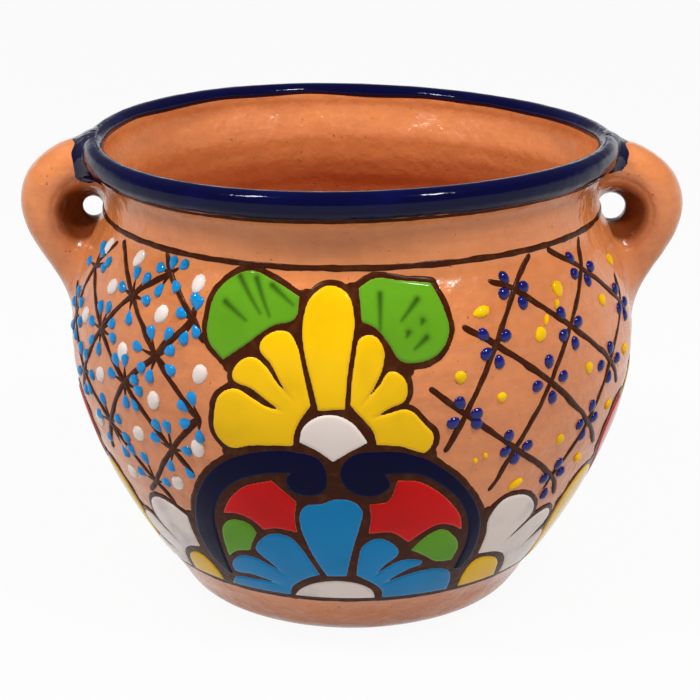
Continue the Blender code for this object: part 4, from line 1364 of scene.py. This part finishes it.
class PLANTER_OT_bowl(PlanterOperator):
    """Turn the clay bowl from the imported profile, with throwing ripples"""

    bl_idname = "planter.bowl"
    bl_label = "Thrown bowl"

    def execute(self, context):
        guide = profile_curve("bowl_profile", WALL.loop, closed=True)
        size = sizes()
        bowl = grow("bowl", bpy.data.meshes.new("bowl"), turned_tree(), {
            "Profile": guide, "Rows": len(WALL.loop), "Segments": size.segments,
            "Ripple height": size.ripple_height, "Ripple pitch": size.ripple_pitch, "Unevenness": UNEVENNESS})
        bpy.data.objects.remove(guide)
        face_outward(bowl.data)
        hand_over(bowl, "clay", "vessel")
        return {"FINISHED"}


class PLANTER_OT_lip(PlanterOperator):
    """Run the cobalt glaze over the lip, with uneven edges"""

    bl_idname = "planter.lip"
    bl_label = "Cobalt lip"

    def execute(self, context):
        height = WALL.loop[:, 1]
        start = int(np.argmax(height > GLAZE_OUTSIDE_HEIGHT))
        top = int(np.argmax(height))
        end = top + int(np.argmax(height[top:] < GLAZE_INSIDE_HEIGHT))
        line = Line(WALL.loop[start - PROFILE_SPARE:end + PROFILE_SPARE])
        segments = sizes().segments
        turn = 2 * pi * np.arange(segments) / segments
        girth = turn * LIP_RADIUS
        level = np.zeros(segments)
        first = (line.run[PROFILE_SPARE] + wander(girth, level, *OUTSIDE_WAVE)
                 + wander(girth, girth, *OUTSIDE_RIPPLE))[:, None]
        last = (line.run[-PROFILE_SPARE] + wander(girth + INSIDE_SHIFT, level, *INSIDE_WAVE))[:, None]
        at = first + (last - first) * np.linspace(0, 1, GLAZE_ROWS)
        edge = np.minimum(at - first, last - at)
        rise = sizes().lip_glaze * rolled(edge, GLAZE_TAPER)
        outer, inner = (line.place(at, lift, turn[:, None]) for lift in (rise, -SEAT))
        ring = np.concatenate([outer, inner[:, ::-1]], axis=1)
        ids = np.arange(ring.shape[0] * ring.shape[1]).reshape(ring.shape[:2])
        faces = np.stack([ids, np.roll(ids, -1, 0), np.roll(ids, -1, (0, 1)), np.roll(ids, -1, 1)], axis=-1)
        thin = thinness(np.concatenate([edge, edge[:, ::-1]], axis=1))
        mesh = plain_mesh("lip_cobalt", ring.reshape(-1, 3), faces.reshape(-1, 4), thin=thin)
        face_outward(mesh)
        add_piece("lip_cobalt", mesh, "lip", "rim_glaze")
        return {"FINISHED"}


class PLANTER_OT_handles(PlanterOperator):
    """Model the two ear handles, melted into the neck and the shoulder"""

    bl_idname = "planter.handles"
    bl_label = "Ear handles"

    def execute(self, context):
        for name, side, hole, raised, run_out, run_down in HANDLES:
            points, faces = surface_net(
                lambda p: handle_solid(p, hole, raised), HANDLE_LOW, HANDLE_HIGH, HANDLE_CELL)
            x, y, z = points.T
            beyond = np.hypot(x, y) - LIP_OUTSIDE
            edge = run_out + wander(y, z, *DAB_WAVE)
            foot = run_down + wander(y, x * side, *DAB_FOOT_WAVE) + DAB_SLOPE * np.maximum(beyond, 0)
            dab = np.clip(np.minimum(edge - beyond, z - foot) / DAB_FADE, 0, 1)
            # Pooled glaze and painted shade in the hole's dish, darkest on its outer side
            away = np.hypot(*((at - middle - offset) / half for at, middle, offset, half in zip(
                (x, z), HOLE_PLACE, POOL_SHADE_OFFSET, POOL_SHADE_SIZE)))
            pool = POOL_SHADE_STRENGTH * np.clip((POOL_SHADE_EDGE - away) / POOL_SHADE_FADE, 0, 1)
            pool *= np.clip((HANDLE_HALF_WIDTH + POOL_SHADE_SIDE - np.abs(y)) / POOL_SHADE_SIDE_FADE, 0, 1)
            mesh = plain_mesh(f"ear_{name}", points * (side, 1, 1), faces[:, ::side], dab=dab, pool=pool)
            add_piece(f"ear_{name}", mesh, "handle", f"handle_{name}")
        return {"FINISHED"}


class PLANTER_OT_enamel(PlanterOperator):
    """Lay every enamel field of the four motifs, and the brown slip round them"""

    bl_idname = "planter.enamel"
    bl_label = "Enamel fields"

    def execute(self, context):
        size = sizes()
        for fields, places in ((medallion_fields(), FRONT_AND_BACK), (side_fields(), RIGHT_AND_LEFT)):
            xs, ys, windows = survey(fields)
            nearest = np.full((len(xs), len(ys)), -1.0)
            second = nearest.copy()
            for part, depth in windows:
                second[part] = np.maximum(second[part], np.minimum(nearest[part], depth))
                nearest[part] = np.maximum(nearest[part], depth)
            for (name, finish, _), (part, depth) in zip(fields, windows):
                other = np.where(depth >= nearest[part], second[part], nearest[part])
                laid = np.minimum(depth + size.field_swell, (depth - other - size.thin_line) / 2)
                for place, turn in places:
                    relief(f"{name}_{place}_enamel", finish, laid, xs[part[0]], ys[part[1]],
                           size.enamel_height, turn, f"{name}_{place}")
            px, py = np.meshgrid(xs, ys, indexing="ij")
            margin = (size.ground_margin + wander(px, py, *GROUND_WAVE) + wander(py, px, *GROUND_RIPPLE)
                      + size.gap_fill * np.clip((second + CLOSE_GAP) / CLOSE_GAP_FADE, 0, 1))
            ground = np.minimum(nearest + margin, GROUND_OVERLAP - nearest)
            for place, turn in places:
                relief(f"ground_{place}", "brown", ground, xs, ys, size.ground_height, turn)
        return {"FINISHED"}


def stroke(points, half):
    """Path and half widths of a brush stroke that narrows close to its ends."""
    points = [np.array(p) for p in points]
    first, last = (
        tip + (near - tip) * min(TIP_SHARE, STROKE_TIP / np.linalg.norm(near - tip))
        for tip, near in ((points[0], points[1]), (points[-1], points[-2])))
    path = [points[0], first, *points[1:-1], last, points[-1]]
    return path, [START_WIDTH * half] + [half] * (len(path) - 2) + [END_WIDTH * half]


def stepped(point, way, distance):
    """Sheet point at a distance from another, in a direction in degrees."""
    return point[0] + distance * cos(radians(way)), point[1] + distance * sin(radians(way))


class PLANTER_OT_lines(PlanterOperator):
    """Trail the brown lines: lattices, stars, neck line, base line and the line under the lip"""

    bl_idname = "planter.lines"
    bl_label = "Trailed lines"

    def execute(self, context):
        size = sizes()
        half = size.line_width / 2
        lines = []
        for _, turn in FRONT_AND_BACK:
            for path in LEFT_LATTICE + RIGHT_LATTICE:
                lines.append(stroke([WALL.medallion(spot, turn) for spot in path], LATTICE_WIDTH * half))
            for spot, ways in STARS:
                middle = WALL.medallion(spot, turn)
                for way, distance in ways:
                    reach = RAY_REACH * MILLIMETRE * distance * size.drop_distance
                    path = [stepped(middle, way, reach * share) for share in (0, 0.5, 1)]
                    lines.append((path, [width * half for width in RAY_WIDTHS]))
        trail("lattice_lines", "brown", lines, LINE_WAVER)
        rings = []
        lip_line = WALL.up_to(GLAZE_OUTSIDE_HEIGHT - LIP_LINE_DROP)
        for y, width in zip((WALL.base, WALL.base + WALL.band, lip_line), RING_WIDTHS):
            path = [(radians(a) * BELLY_RADIUS, y + RING_DRIFT * sin(radians(RING_DRIFTS_ROUND * a)))
                    for a in range(-RING_END, RING_END + 1, RING_DEGREES)]
            rings.append((path, [width * half] * len(path)))
        trail("ring_lines", "brown", rings, RING_WAVER)
        return {"FINISHED"}


class PLANTER_OT_drops(PlanterOperator):
    """Set the glaze drops: turquoise stars, navy dots, white ovals and yellow blobs"""

    bl_idname = "planter.drops"
    bl_label = "Glaze drops"

    def execute(self, context):
        stars, dots, ovals, blobs = [], [], [], []
        scale = MILLIMETRE * sizes().drop_distance
        for _, turn in FRONT_AND_BACK:
            for table, shape, drops in ((STARS, STAR_DROP, stars), (CROSSINGS, CROSSING_DOT, dots)):
                for spot, ways in table:
                    middle = WALL.medallion(spot, turn)
                    drops += [(stepped(middle, way, distance * scale), shape, radians(way) - pi / 2)
                              for way, distance in ways]
            for k, spot in enumerate(WHITE_OVALS):
                lean = OVAL_TURN + OVAL_SWING * sin(OVAL_STEP * k)
                ovals.append((WALL.medallion(spot, turn), WHITE_OVAL, radians(lean)))
            for spot, across, along, lean in YELLOW_BLOBS:
                shape = (MILLIMETRE * across, MILLIMETRE * along, BLOB_HEIGHT)
                blobs.append((WALL.medallion(spot, turn), shape, radians(lean)))
        scatter("star_drops", "turquoise", stars)
        scatter("crossing_dots", "navy", dots)
        scatter("white_ovals", "white", ovals)
        scatter("yellow_blobs", "yellow", blobs)
        return {"FINISHED"}


def seen_directly(maker):
    """1 for what the camera sees straight, in gloss or through glass, 0 for diffuse light."""
    camera, gloss, glass = (
        maker.node("ShaderNodeLightPath", out=name)
        for name in ("Is Camera Ray", "Is Glossy Ray", "Is Transmission Ray"))
    return camera.math("MAXIMUM", gloss.math("MAXIMUM", glass))


class PLANTER_OT_stage(PlanterOperator):
    """Set the pale floor, the soft studio light and the camera"""

    bl_idname = "planter.stage"
    bl_label = "Stage"

    def execute(self, context):
        corners = [(-1, -1, 0), (1, -1, 0), (1, 1, 0), (-1, 1, 0)]
        mesh = plain_mesh("floor", np.array(corners) * FLOOR_HALF, [(0, 1, 2, 3)])
        mesh.materials.append(bpy.data.materials.new("floor"))
        maker = blank_nodes(mesh.materials[0])
        plain = maker.node("ShaderNodeBsdfDiffuse", {"Color": FLOOR_GREY})
        white = maker.node("ShaderNodeEmission", {"Color": WHITE, "Strength": 1.0})
        share = seen_directly(maker) * FLOOR_WHITE_SHARE
        shader = maker.node("ShaderNodeMixShader", {0: share, 1: plain, 2: white})
        maker.node("ShaderNodeOutputMaterial", {"Surface": shader})
        put("floor", mesh)

        context.scene.world = bpy.data.worlds.new("studio")
        maker = blank_nodes(context.scene.world)
        fill = maker.node("ShaderNodeBackground", {"Color": WHITE, "Strength": FILL_LIGHT})
        height = maker.node("ShaderNodeTexCoord", out="Generated").parts()[2]
        glow = height.ramp(*PAPER_BY_HEIGHT)
        paper = maker.node("ShaderNodeBackground", {"Color": WHITE, "Strength": glow})
        shader = maker.node("ShaderNodeMixShader", {0: seen_directly(maker), 1: fill, 2: paper})
        maker.node("ShaderNodeOutputWorld", {"Surface": shader})

        for name, azimuth in LAMPS.items():
            lamp = bpy.data.lights.new(name, "AREA")
            lamp.shape = "RECTANGLE"
            lamp.size, lamp.size_y = LAMP_SIZE
            lamp.energy = LAMP_POWER
            holder = put(name, lamp)
            turn = radians(azimuth)
            away = (sin(turn) * cos(LAMP_RISE), -cos(turn) * cos(LAMP_RISE), sin(LAMP_RISE))
            holder.location = np.array(away) * LAMP_DISTANCE + LAMP_AIM
            holder.rotation_euler = (pi / 2 - LAMP_RISE, 0, turn)

        lens = bpy.data.cameras.new("camera")
        lens.sensor_width = SENSOR_WIDTH
        lens.lens = LENS
        lens.shift_x, lens.shift_y = (pixels / IMAGE_WIDTH for pixels in SHIFT_PIXELS)
        camera = put("camera", lens)
        back, up = CAMERA_DISTANCE * cos(CAMERA_TILT), CAMERA_DISTANCE * sin(CAMERA_TILT)
        camera.location = (0, -back, CAMERA_AIM_HEIGHT + up)
        camera.rotation_euler = (pi / 2 - CAMERA_TILT, 0, 0)
        context.scene.camera = camera
        context.scene.view_settings.view_transform = "Standard"
        return {"FINISHED"}


OPERATORS = (PLANTER_OT_bowl, PLANTER_OT_lip, PLANTER_OT_handles, PLANTER_OT_enamel, PLANTER_OT_lines,
             PLANTER_OT_drops, PLANTER_OT_stage)


class PLANTER_PT_panel(bpy.types.Panel):
    """Sidebar panel with the planter's sizes, colours and steps."""

    bl_idname = "PLANTER_PT_panel"
    bl_label = "Clay planter"
    bl_space_type = "VIEW_3D"
    bl_region_type = "UI"
    bl_category = "Planter"

    def draw(self, context):
        for group in (context.scene.planter_sizes, context.scene.planter_colours):
            box = self.layout.box()
            for name in group.__annotations__:
                box.prop(group, name)
        for operator in OPERATORS:
            self.layout.operator(operator.bl_idname)


CLASSES = (PlanterSizes, PlanterColours, *OPERATORS, PLANTER_PT_panel)


def register():
    for cls in CLASSES:
        bpy.utils.register_class(cls)
    bpy.types.Scene.planter_sizes = PointerProperty(type=PlanterSizes)
    bpy.types.Scene.planter_colours = PointerProperty(type=PlanterColours)


def unregister():
    del bpy.types.Scene.planter_colours
    del bpy.types.Scene.planter_sizes
    for cls in reversed(CLASSES):
        bpy.utils.unregister_class(cls)


def main():
    register()
    bpy.ops.planter.bowl()
    bpy.ops.planter.lip()
    bpy.ops.planter.handles()
    bpy.ops.planter.enamel()
    bpy.ops.planter.lines()
    bpy.ops.planter.drops()
    bpy.data.objects.remove(bpy.data.objects["wall_guide"])
    bpy.ops.planter.stage()


if __name__ == "__main__":
    main()
